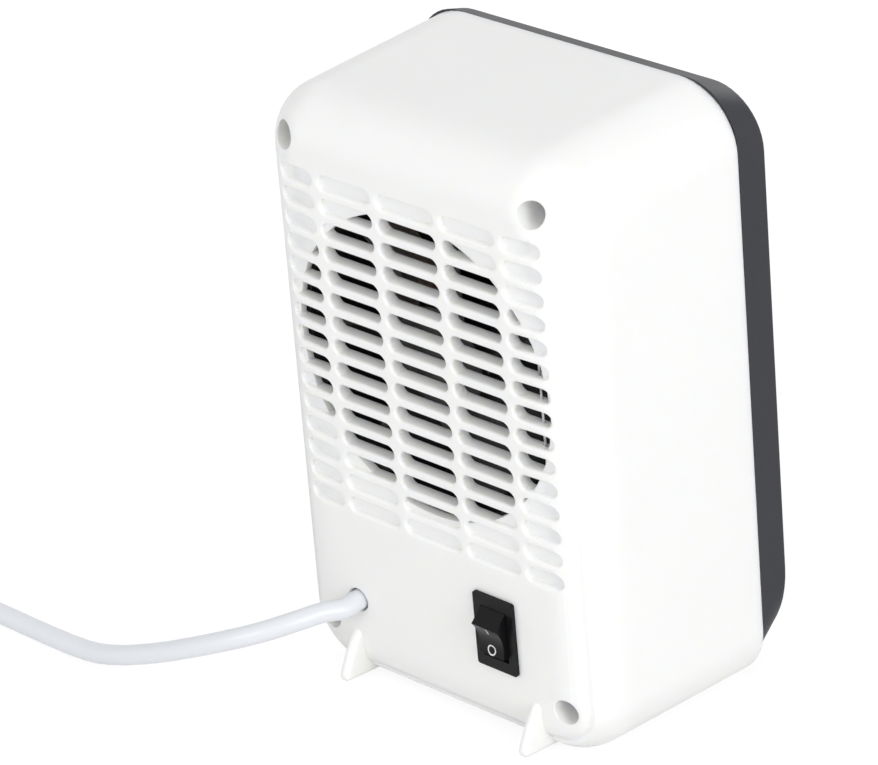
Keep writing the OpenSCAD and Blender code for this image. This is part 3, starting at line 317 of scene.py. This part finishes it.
finish = {
    "white_shell": plastic("White shell", (0.90, 0.90, 0.885), 0.42, 0.12, 0.03, **{
        "Subsurface Weight": 0.5, "Subsurface Radius": (1.0, 0.9, 0.7), "Subsurface Scale": 0.003}),
    "charcoal": plastic("Charcoal bezel", (0.038, 0.039, 0.046), 0.5, 0.35, 0.25, 1800, **{
        "Specular IOR Level": 0.28}),
    "black_plastic": plastic("Black switch", (0.007, 0.007, 0.008), 0.32, 0.08, 0.2, 3000, **{
        "Specular IOR Level": 0.14}),
    "duct_black": plastic("Black duct", (0.012, 0.012, 0.013), 0.6, 0.2, 0.3),
    "fan_plastic": plastic("Fan plastic", (0.018, 0.019, 0.02), 0.45, 0.1, 0.3),
    "heat_plastic": plastic("Heat proof plastic", (0.68, 0.62, 0.5), 0.55, 0.2, 0.2),
    "end_block": plastic("Silicone end block", (0.48, 0.13, 0.06), 0.65, 0.2, 0.2),
    "ceramic": plastic("Ceramic stone", (0.09, 0.08, 0.07), 0.7, 0.5, 0.4, 1500),
    "ferrite": plastic("Ferrite", (0.05, 0.05, 0.055), 0.6, 0.5, 0.3, 1500),
    "fuse_body": plastic("Fuse ceramic", (0.66, 0.62, 0.5), 0.6, 0.3, 0.15),
    "phenolic": plastic("Phenolic", (0.045, 0.024, 0.018), 0.35, 0.1, 0.3),
    "brown_wire": plastic("Brown insulation", (0.16, 0.055, 0.02), 0.4, 0.05, 0.2),
    "blue_wire": plastic("Blue insulation", (0.03, 0.12, 0.42), 0.4, 0.05, 0.2),
    "red_wire": plastic("Red insulation", (0.42, 0.02, 0.02), 0.4, 0.05, 0.2),
    "white_cord": plastic("White lead", (0.75, 0.77, 0.81), 0.3, 0.05, 0.04, 1500),
    "plug_white": plastic("White plug", (0.84, 0.84, 0.835), 0.38, 0.1, 0.04),
    "steel": metal("Zinc plated steel", (0.56, 0.57, 0.6), 0.28),
    "bronze": metal("Sintered bronze", (0.62, 0.42, 0.2), 0.42),
    "copper": metal("Copper", (0.72, 0.3, 0.15), 0.3),
    "aluminium": metal("Aluminium foil", (0.8, 0.81, 0.82), 0.26),
    "brass": metal("Stamped brass", (0.75, 0.56, 0.26), 0.25),
    "pin_metal": metal("Nickel pin", (0.72, 0.71, 0.69), 0.16, 0.2),
}
slot_of = {part["node"]: part["material_slot"] for part in frame["record"]["subparts"]}


def dress(piece, name):
    """Give the piece one finish all over."""
    piece.data.materials.clear()
    piece.data.materials.append(finish[name])


for node_name, node_object in nodes.items():
    dress(node_object, slot_of[node_name])
dress(mains_lead, "white_cord")


# %% [markdown]
# A few helpers stand for what a hand does in the editor: take one object alone, pick faces, edges
# or corners by where they are, run a modifier and keep its result, and cut one solid with another.
# The pieces are drawn with one unit for a millimetre, which keeps the cuts clean, and are scaled
# down to metres when they are set in place.

# %% Modelling helpers
def only(piece):
    """Make this the one selected object."""
    bpy.ops.object.select_all(action="DESELECT")
    piece.select_set(True)
    bpy.context.view_layer.objects.active = piece


def start(name):
    """Name the primitive that was just added and bake its place into its mesh."""
    piece = bpy.context.active_object
    piece.name = name
    bpy.ops.object.transform_apply(location=True, rotation=True, scale=True)
    return piece


def box(name, near, far):
    """A block between two opposite corners."""
    only(camera)
    near, far = Vector(near), Vector(far)
    bpy.ops.mesh.primitive_cube_add(size=1, location=(near + far) / 2, scale=far - near)
    return start(name)


def rod(name, r, y_front, y_back, x=0, z=0, sides=48):
    """A round bar along the depth."""
    only(camera)
    bpy.ops.mesh.primitive_cylinder_add(
        vertices=sides, radius=r, depth=(y_back - y_front),
        location=(x, (y_front + y_back) / 2, z), rotation=(math.pi / 2, 0, 0))
    return start(name)


def pick(piece, kind, test):
    """Go into edit mode on the piece and select what passes the test."""
    only(piece)
    bpy.ops.object.mode_set(mode="EDIT")
    bpy.ops.mesh.select_mode(type=kind)
    bpy.ops.mesh.select_all(action="DESELECT")
    mesh = bmesh.from_edit_mesh(piece.data)
    if kind == "VERT":
        for v in mesh.verts:
            v.select = bool(test(v.co))
    elif kind == "EDGE":
        for e in mesh.edges:
            e.select = bool(test(e.verts[0].co, e.verts[1].co))
    else:
        for f in mesh.faces:
            f.select = bool(test(f.calc_center_median(), f.normal))
    mesh.select_flush_mode()
    bmesh.update_edit_mesh(piece.data)


def leave():
    """Go back to object mode."""
    bpy.ops.object.mode_set(mode="OBJECT")


def round_edges(piece, test, radius, segments=6, profile=0.5):
    """Bevel the edges that pass the test."""
    pick(piece, "EDGE", test)
    bpy.ops.mesh.bevel(offset=radius, offset_type="OFFSET", segments=segments, profile=profile,
                       affect="EDGES")
    leave()


def modify(piece, kind, **settings):
    """Run a modifier and keep its result."""
    modifier = piece.modifiers.new(kind.lower(), kind)
    for key, value in settings.items():
        setattr(modifier, key, value)
    only(piece)
    bpy.ops.object.modifier_apply(modifier=modifier.name)


def combine(piece, tool, operation):
    """Boolean with another object, which is used up."""
    modify(piece, "BOOLEAN", operation=operation, solver="EXACT", object=tool)
    bpy.data.objects.remove(tool)


def join(name, pieces):
    """Make one object of several."""
    only(pieces[0])
    for other in pieces[1:]:
        other.select_set(True)
    bpy.ops.object.join()
    pieces[0].name = name
    return pieces[0]


def shade(piece, angle=35):
    """Smooth the faces, keep real edges sharp and let the big flat faces lead."""
    only(piece)
    bpy.ops.object.shade_smooth_by_angle(angle=math.radians(angle))
    modify(piece, "WEIGHTED_NORMAL", weight=80, keep_sharp=True)


half_back, half_seam = 50.56, 52.0
depth, front_y = 63.5, -72.0
body_h = 165.0
front_low = 4.5
edge_r, corner_r = 14.5, 17.0
wall, back_wall = 2.4, 3.2
top_draft, side_draft = math.radians(1.5), math.radians(1.3)
top_c = body_h - edge_r * math.tan(top_draft) - edge_r / math.cos(top_draft)
side_c = half_back + edge_r * math.tan(side_draft) - edge_r
back_reach = edge_r + math.sin(LEAN) * top_c - edge_r * math.cos(LEAN)
front_reach = front_y * math.cos(LEAN) + front_low * math.sin(LEAN)
set_back = -(back_reach + front_reach) / 2
stand = (Matrix.Scale(mm, 4) @ Matrix.Translation((0, set_back, 0))
         @ Matrix.Rotation(-LEAN, 4, "X"))


def fit_out(piece, slot, body="heater", replaced=(), upright=True):
    """Set an upright piece down in its place, dress it and let it ride on its body."""
    piece.data.transform(stand if upright else Matrix.Scale(mm, 4))
    dress(piece, slot)
    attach(piece, body)
    if replaced:
        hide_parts(*replaced)
    print(piece.name, len(piece.data.polygons), "faces")


print("set back by", round(set_back, 3), "mm")

# %% [markdown]
# The white shell is one deep injection moulding. Its walls have draft, so that it leaves the mould,
# and the four edges round its back are large soft curves. A cube takes the draft when its front
# corners are moved, the edges that run to the front are rounded first, and the ring of edges round
# the back is rounded after them, which gives the same rolling corner that the mould has. That last
# curve is a little fuller than a quarter circle at the bottom: it is an arc of a superellipse, whose
# exponent is its fullness. Towards the top it eases into the plain quarter circle.

# %% Shell block
shell = box("shell", (-half_back, -depth, 0), (half_back, 0, body_h))
pick(shell, "VERT", lambda p: p.y < -1 and p.z < 10)
bpy.ops.transform.translate(value=(0, 0, -depth * math.tan(LEAN)))
leave()
pick(shell, "VERT", lambda p: p.y < -1 and p.z > 10)
bpy.ops.transform.translate(value=(0, 0, -depth * math.tan(top_draft)))
leave()
pick(shell, "VERT", lambda p: p.y < -1)
bpy.ops.transform.resize(value=(half_seam / half_back, 1, 1), center_override=(0, 0, 0))
leave()
round_edges(shell, lambda a, b: abs(a.y - b.y) > 10, corner_r, 12)
fullness = 2.6
round_edges(shell, lambda a, b: a.y > -0.01 and b.y > -0.01, edge_r, 16, 0.25 ** (1 / fullness))


def arc(a, n):
    """The other side of a superellipse quarter of radius 1 and exponent n."""
    return (1 - min(max(a, 0), 1) ** n) ** (1 / n)


for v in shell.data.vertices:
    if v.co.z > body_h / 2 and -edge_r < v.co.y < 0:
        v.co.y = edge_r * (arc(arc(1 + v.co.y / edge_r, fullness), 2) - 1)
pick(shell, "FACE", lambda c, n: n.y < -0.9)
bpy.ops.mesh.delete(type="FACE")
leave()
modify(shell, "SOLIDIFY", thickness=wall, offset=-1, use_even_offset=True)
pick(shell, "VERT", lambda p: -wall - 0.05 < p.y < -wall + 0.05)
bpy.ops.transform.translate(value=(0, -(back_wall - wall), 0))
leave()
print("shell block:", len(shell.data.polygons), "faces")

# %% [markdown]
# Two fins behind the back wall keep the heater from tipping over backwards. Each is a thin plate
# with a rounded rim, so its side view is drawn once, given its thickness and rounded.

# %% Fins
fin_x, fin_t = 30.7, 3.0


def plate(name, points, x0, x1):
    """A flat outline in y and z, extruded along x."""
    mesh = bpy.data.meshes.new(name)
    mesh.from_pydata([(x0, y, z) for y, z in points], [], [list(range(len(points)))])
    piece = bpy.data.objects.new(name, mesh)
    bpy.context.scene.collection.objects.link(piece)
    pick(piece, "FACE", lambda c, n: True)
    bpy.ops.mesh.extrude_region_move(TRANSFORM_OT_translate={"value": ((x1 - x0), 0, 0)})
    bpy.ops.mesh.select_all(action="SELECT")
    bpy.ops.mesh.normals_make_consistent(inside=False)
    leave()
    return piece


fin_root = -10
fin_side = [(fin_root, 15.6), (-0.8, 15.6), (0.7, 14.7), (2.2, 12.7), (3.7, 10.4), (5.0, 8.1),
            (6.0, 6.1), (6.7, 4.6), (6.9, 3.8), (6.7, 3), (6.1, 2.4), (5.3, 2.2), (2, 1.75),
            (fin_root, 0.1)]
for side in (-1, 1):
    fin = plate("fin", fin_side, side * fin_x - fin_t / 2, side * fin_x + fin_t / 2)
    round_edges(fin, lambda a, b: abs(a.x - b.x) < 0.1, 1.3, 5)
    combine(shell, fin, "UNION")

# %% [markdown]
# Behind the back wall the moulding carries deep sleeves for the case screws, bosses for the fan duct
# and a block that the lead is clamped on. A round pad thickens the wall over the fan. They are joined
# to the shell as solids before anything is bored, so that each bore runs clean through.

# %% Sleeves, bosses and lead seat
fan_z = 99.7
lead_x, lead_z, lead_hole_r = 29.3, 24.2, 3.2
switch_x, switch_z = -19.3, 31.7


def skin_y(x, z):
    """Depth of the shell's back surface at x and z."""
    across = (abs(x) - side_c) / edge_r
    along = max(edge_r - z, z - top_c) / edge_r
    t = min(max((z - corner_r) / (body_h - 2 * corner_r), 0), 1)
    return edge_r * ((1 - t) * (arc(across, fullness) + arc(along, fullness))
                     + t * (arc(across, 2) + arc(along, 2)) - 2)


screw_places = [(x, z) for x in (-40.2, 40.2) for z in (15.5, 153)]
boss_places = [(x, fan_z + z) for x in (-41.5, 41.5) for z in (-40.5, 40.5)]
sleeve_r, boss_r = 5.1, 4
posts = [rod("post", sleeve_r, -50, 0, x, z) for x, z in screw_places]
posts += [rod("post", boss_r, -28, 0, x, z, 32) for x, z in boss_places]
for post in posts:
    for v in post.data.vertices:
        if v.co.y > -1:
            v.co.y = skin_y(v.co.x, v.co.z) - 1.2
    combine(shell, post, "UNION")
combine(shell, box("seat", (lead_x - 11, -15, 7.5), (lead_x + 11, -2.6, 21.5)), "UNION")
combine(shell, rod("pad", 42.6, -3.9, -2.6, 0, fan_z, 128), "UNION")

# %% [markdown]
# The air inlet is a field of long slots in five columns. They are sunk a little into the wall, and
# only inside a round opening over the fan do they go through. Every rim is softly rounded, so the
# cutter gets a flared mouth: a ring of faces that opens out in a quarter circle where it meets the
# surface. One round cutter is modelled, pulled apart to a slot's length, and copied for each slot.
# At the outer columns its rings follow the curve of the shell's edge.

# %% Slot cutters
slot_h, pitch, rows = 4.1, 6.47, 15
field_z = 98.4
inlet_r = 41.2
pocket_depth, rim_flare = 1.4, 0.8
columns = [(0, 18.7), (-20.1, 17.3), (20.1, 17.3), (-36.5, 11.3), (36.5, 11.3)]


def mouth(depth_end, flare, pocket=False):
    """Rings of the cutter as (depth below the surface, widening)."""
    rings = [(-1.0, flare + 0.03), (-0.004, flare + 0.03)]
    for k in range(1, 5):
        t = math.radians(22.5 * k)
        rings.append((flare * (1 - math.cos(t)), flare * (1 - math.sin(t))))
    if pocket:
        return rings + [(depth_end - 0.35, 0), (depth_end - 0.1, -0.1), (depth_end, -0.35)]
    return rings + [(depth_end, 0)]


def ring_cutter(name, r, rings, sides=24):
    """A round cutter along the depth whose rings are extruded and resized one by one."""
    only(camera)
    bpy.ops.mesh.primitive_circle_add(vertices=sides, radius=(r + rings[0][1]), fill_type="NGON",
                                      location=(0, -rings[0][0], 0), rotation=(math.pi / 2, 0, 0))
    piece = start(name)
    step = math.pi / sides
    piece.data.transform(Matrix.Rotation(step, 4, "Y"))
    pick(piece, "FACE", lambda c, n: True)
    for before, after in zip(rings, rings[1:]):
        bpy.ops.mesh.extrude_region_move(TRANSFORM_OT_translate={"value": (0, (before[0] - after[0]), 0)})
        k = (r + after[1]) / (r + before[1])
        bpy.ops.transform.resize(value=(k, 1, k), center_override=(0, 0, 0))
    bpy.ops.mesh.select_all(action="SELECT")
    bpy.ops.mesh.normals_make_consistent(inside=False)
    leave()
    return piece


def slots(name, pattern):
    """A copy of the pattern for every slot, pulled to its length and bent to the surface."""
    made = []
    for x, width in columns:
        for row in range(rows):
            z = field_z + (row - (rows - 1) / 2) * pitch
            slot = bpy.data.objects.new(name, pattern.data.copy())
            bpy.context.scene.collection.objects.link(slot)
            for v in slot.data.vertices:
                px = v.co.x + math.copysign((width - slot_h) / 2, v.co.x) + x
                v.co = (px, v.co.y + skin_y(px, z), v.co.z + z)
            made.append(slot)
    bpy.data.objects.remove(pattern)
    return join(name, made)


pockets = slots("pockets", ring_cutter("pocket", slot_h / 2, mouth(pocket_depth, rim_flare, True)))
through = slots("through", ring_cutter("through", slot_h / 2, [(1, -0.02), (8, -0.02)]))
combine(through, rod("inlet", inlet_r, -9, 1, 0, fan_z, 128), "INTERSECT")
print("pockets:", len(pockets.data.polygons), "through:", len(through.data.polygons))

# %% [markdown]
# Everything is now cut in turn: the slots, the deep bores of the case screws with their clearance
# holes, the pilot holes of the fan duct, the way of the lead and the opening of the switch.

# %% Cut the shell
way_w, way_h = 12.4, 19.6
combine(shell, pockets, "DIFFERENCE")
combine(shell, through, "DIFFERENCE")
for x, z in screw_places:
    bore = ring_cutter("bore", 3.45, mouth(47, 0.4), 48)
    for v in bore.data.vertices:
        v.co = (v.co.x + x, v.co.y + skin_y(v.co.x + x, v.co.z + z), v.co.z + z)
    combine(shell, bore, "DIFFERENCE")
    combine(shell, rod("hole", 1.9, -52, -40, x, z, 32), "DIFFERENCE")
for x, z in boss_places:
    combine(shell, rod("hole", 1.5, -29, -9.2, x, z, 24), "DIFFERENCE")
lead_hole = ring_cutter("lead hole", lead_hole_r, mouth(6, 0.55), 48)
lead_hole.data.transform(Matrix.Translation((lead_x, 0, lead_z)))
combine(shell, lead_hole, "DIFFERENCE")
combine(shell, rod("lead way", lead_hole_r, -12, -5, lead_x, lead_z), "DIFFERENCE")
combine(shell, box("switch way", (switch_x - way_w / 2, -5, switch_z - way_h / 2),
                   (switch_x + way_w / 2, 1, switch_z + way_h / 2)), "DIFFERENCE")
shade(shell, 32)
fit_out(shell, "white_shell", replaced=["rear_housing"])

# %% [markdown]
# The charcoal bezel closes the front. It starts flush with the shell, flares out a little and slopes
# in at its top and bottom. It is a cube with its front corners moved, hollowed from behind, with a
# rounded window cut in its face.

# %% Bezel
seam_low, seam_top = -5.72, 163.34
half_front, front_top = 54, 160
window_half, window_low, window_top = 44, 24, 144
bezel = box("bezel", (-half_seam, front_y, seam_low), (half_seam, -depth - 0.15, seam_top))
pick(bezel, "VERT", lambda p: p.y < front_y + 1 and p.z < 10)
bpy.ops.transform.translate(value=(0, 0, front_low - seam_low))
leave()
pick(bezel, "VERT", lambda p: p.y < front_y + 1 and p.z > 10)
bpy.ops.transform.translate(value=(0, 0, front_top - seam_top))
leave()
pick(bezel, "VERT", lambda p: p.y < front_y + 1)
bpy.ops.transform.resize(value=(half_front / half_seam, 1, 1), center_override=(0, 0, 0))
leave()
round_edges(bezel, lambda a, b: abs(a.y - b.y) > 5, 14.5, 12)
round_edges(bezel, lambda a, b: a.y < front_y + 0.01 and b.y < front_y + 0.01, 1.2, 4)
pick(bezel, "FACE", lambda c, n: n.y > 0.9)
bpy.ops.mesh.delete(type="FACE")
leave()
modify(bezel, "SOLIDIFY", thickness=2.2, offset=-1, use_even_offset=True)
window = box("window", (-window_half, front_y - 2, window_low), (window_half, front_y + 5, window_top))
round_edges(window, lambda a, b: abs(a.y - b.y) > 5, 8, 8)
combine(bezel, window, "DIFFERENCE")
shade(bezel, 30)
fit_out(bezel, "charcoal", replaced=["front_bezel"])

# %% [markdown]
# The outlet grille clips into that window. Its louvres tilt to throw the warm air, and three upright
# ribs keep fingers out. One louvre with rounded edges is modelled and copied up the window.

# %% Outlet grille
grille_front, grille_back = front_y + 0.6, front_y + 5.6
gap, rim_w, tuck = 0.1, 2, 0.6
louvre_count, louvre_depth, louvre_t = 14, 4.8, 1.6
hole_half, hole_low, hole_top = window_half - rim_w, window_low + rim_w, window_top - rim_w
rim = box("outlet", (gap - window_half, grille_front, window_low + gap),
          (window_half - gap, grille_back, window_top - gap))
round_edges(rim, lambda a, b: abs(a.y - b.y) > 4, 7.9, 8)
hole = box("hole", (-hole_half, front_y - 1, hole_low), (hole_half, front_y + 8, hole_top))
round_edges(hole, lambda a, b: abs(a.y - b.y) > 5, 6, 8)
combine(rim, hole, "DIFFERENCE")
bars = []
for i in range(1, louvre_count + 1):
    louvre = box("louvre", (-hole_half - tuck, -louvre_depth / 2, -louvre_t / 2),
                 (hole_half + tuck, louvre_depth / 2, louvre_t / 2))
    round_edges(louvre, lambda a, b: abs(a.x - b.x) > 10, 0.6, 3)
    height = hole_low + i * (hole_top - hole_low) / (louvre_count + 1)
    louvre.data.transform(Matrix.Translation((0, (grille_front + grille_back) / 2, height))
                          @ Matrix.Rotation(math.radians(20), 4, "X"))
    bars.append(louvre)
for x in (-22, 0, 22):
    rib = box("rib", (x - 0.8, front_y + 1.6, hole_low - tuck), (x + 0.8, grille_back, hole_top + tuck))
    round_edges(rib, lambda a, b: abs(a.z - b.z) > 10, 0.5, 3)
    bars.append(rib)
outlet = join("outlet", [rim] + bars)
shade(outlet, 35)
fit_out(outlet, "charcoal", replaced=["outlet_grille"])

# %% [markdown]
# Small moulded pieces already have their exact shape in the solids, but every real edge is a little
# round and catches a line of light. A copy of the solid is welded, its flat faces are made whole and
# its edges get a fine bevel.

# %% Soften small pieces
def soften(node, width, segments=3, limit=40):
    """A copy of a solid with a fine bevel on its edges, which takes the solid's place."""
    piece = nodes[node].copy()
    piece.data = nodes[node].data.copy()
    piece.parent = None
    for key in [k for k in piece.keys() if k.startswith("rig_")]:
        del piece[key]
    piece.name = node + "_soft"
    bpy.context.scene.collection.objects.link(piece)
    piece.data.transform(Matrix.Scale(1 / mm, 4))
    pick(piece, "VERT", lambda p: True)
    bpy.ops.mesh.remove_doubles(threshold=0.004)
    bpy.ops.mesh.dissolve_limited(angle_limit=math.radians(0.6))
    leave()
    modify(piece, "BEVEL", width=width, segments=segments, limit_method="ANGLE",
           angle_limit=math.radians(limit), use_clamp_overlap=True)
    shade(piece, 35)
    fit_out(piece, slot_of[node], body=nodes[node]["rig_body"], replaced=[node], upright=False)
    return piece


soften("switch_body", 0.3)
rocker = soften("switch_rocker", 0.2)
plug = soften("plug_body", 0.5)
pins = soften("plug_pins", 0.3)

# %% [markdown]
# The rocker is marked with a ring and a bar, pressed in and filled with white paint. They are drawn
# in the material, from where a point lies on the rocker, so they turn with it.

# %% Switch marks
marks = finish["black_plastic"].copy()
marks.name = "Black rocker with marks"
rocker.data.materials.clear()
rocker.data.materials.append(marks)
tree = marks.node_tree
rocker_tilt = math.radians(13)
paint_white = (0.75, 0.75, 0.73, 1)
ring_z, ring_r, ring_line = -3.25, 1.2, 0.18
bar_z, bar_half, bar_line = 2.9, 1.1, 0.17
centre = stand @ Vector((switch_x, 0, switch_z))
at = tree.nodes.new("ShaderNodeTexCoord")
level = tree.nodes.new("ShaderNodeMapping")
level.vector_type = "TEXTURE"
level.inputs["Location"].default_value = centre
level.inputs["Rotation"].default_value = (-LEAN - rocker_tilt, 0, 0)
level.inputs["Scale"].default_value = (mm, mm, mm)
split = tree.nodes.new("ShaderNodeSeparateXYZ")
tree.links.new(at.outputs["Object"], level.inputs["Vector"])
tree.links.new(level.outputs["Vector"], split.inputs["Vector"])


def math_node(operation, a, b=0.0):
    """One step of arithmetic on sockets or plain numbers."""
    node = tree.nodes.new("ShaderNodeMath")
    node.operation = operation
    for i, value in enumerate((a, b)):
        if isinstance(value, (int, float)):
            node.inputs[i].default_value = value
        else:
            tree.links.new(value, node.inputs[i])
    return node.outputs[0]


x, y, z = split.outputs["X"], split.outputs["Y"], split.outputs["Z"]
dz = math_node("SUBTRACT", z, ring_z)
radius = math_node("SQRT", math_node("ADD", math_node("MULTIPLY", x, x), math_node("MULTIPLY", dz, dz)))
off_ring = math_node("ABSOLUTE", math_node("SUBTRACT", radius, ring_r))
ring = math_node("LESS_THAN", off_ring, ring_line)
off_bar = math_node("ABSOLUTE", math_node("SUBTRACT", z, bar_z))
bar = math_node("MULTIPLY", math_node("LESS_THAN", math_node("ABSOLUTE", x), bar_line),
                math_node("LESS_THAN", off_bar, bar_half))
front = math_node("GREATER_THAN", y, 1.5)
mask = math_node("MULTIPLY", math_node("MAXIMUM", ring, bar), front)
shader = tree.nodes["Principled BSDF"]
group_node = [n for n in tree.nodes if n.type == "GROUP"][0]
paint = tree.nodes.new("ShaderNodeMix")
paint.data_type = "RGBA"
paint.inputs["B"].default_value = paint_white
tree.links.new(mask, paint.inputs["Factor"])
tree.links.new(group_node.outputs["Color"], paint.inputs["A"])
tree.links.new(paint.outputs["Result"], shader.inputs["Base Color"])

# %% [markdown]
# The table and the wall behind are one plain white. The floor shows the camera a clean white but
# keeps the heater's soft shadow, and a white world gives an even light from all round, like a
# photographer's tent, with a large lamp over the camera's shoulder for the modelling.

# %% Floor, light and world
only(camera)
bpy.ops.mesh.primitive_plane_add(size=6, location=(0, 0, 0))
floor = start("floor")
floor_material = bpy.data.materials.new("White floor")
floor_material.use_nodes = True
ft = floor_material.node_tree
floor_shader = ft.nodes["Principled BSDF"]
floor_shader.inputs["Base Color"].default_value = (0.8, 0.8, 0.8, 1)
floor_shader.inputs["Roughness"].default_value = 0.9
glow = ft.nodes.new("ShaderNodeEmission")
glow.inputs["Color"].default_value = (1, 1, 1, 1)
glow.inputs["Strength"].default_value = 1.14
ray = ft.nodes.new("ShaderNodeLightPath")
seen = ft.nodes.new("ShaderNodeMath")
seen.operation = "MAXIMUM"
part = ft.nodes.new("ShaderNodeMath")
part.operation = "MULTIPLY"
part.inputs[1].default_value = 0.75
blend = ft.nodes.new("ShaderNodeMixShader")
ft.links.new(ray.outputs["Is Camera Ray"], seen.inputs[0])
ft.links.new(ray.outputs["Is Glossy Ray"], seen.inputs[1])
ft.links.new(seen.outputs[0], part.inputs[0])
ft.links.new(part.outputs[0], blend.inputs["Fac"])
ft.links.new(floor_shader.outputs["BSDF"], blend.inputs[1])
ft.links.new(glow.outputs["Emission"], blend.inputs[2])
ft.links.new(blend.outputs["Shader"], ft.nodes["Material Output"].inputs["Surface"])
floor.data.materials.append(floor_material)

world = bpy.data.worlds.new("white tent")
bpy.context.scene.world = world
world.use_nodes = True
wt = world.node_tree
background = wt.nodes["Background"]
w_ray = wt.nodes.new("ShaderNodeLightPath")
w_seen = wt.nodes.new("ShaderNodeMath")
w_seen.operation = "MAXIMUM"
w_level = wt.nodes.new("ShaderNodeMix")
w_level.data_type = "FLOAT"
w_level.inputs["A"].default_value = 0.68
w_level.inputs["B"].default_value = 1.0
wt.links.new(w_ray.outputs["Is Camera Ray"], w_seen.inputs[0])
wt.links.new(w_ray.outputs["Is Glossy Ray"], w_seen.inputs[1])
wt.links.new(w_seen.outputs[0], w_level.inputs["Factor"])
wt.links.new(w_level.outputs["Result"], background.inputs["Strength"])
background.inputs["Color"].default_value = (1, 1, 1, 1)


def lamp(name, place, target, size, power):
    """A round area lamp that points at the target."""
    data = bpy.data.lights.new(name, "AREA")
    data.shape = "DISK"
    data.size = size
    data.energy = power
    light = bpy.data.objects.new(name, data)
    bpy.context.scene.collection.objects.link(light)
    light.location = place
    light.rotation_mode = "QUATERNION"
    light.rotation_quaternion = (Vector(target) - Vector(place)).to_track_quat("-Z", "Y")
    return light


middle = (0, 0, 0.08)
lamp("key", (-1.4, 0.35, 0.6), middle, 0.7, 8.6)
lamp("fill", (-0.2, 1.6, 0.6), middle, 0.9, 6.6)
lamp("front", (0.4, -1.6, 1.0), middle, 0.9, 5)
bpy.context.scene.view_settings.view_transform = "Standard"
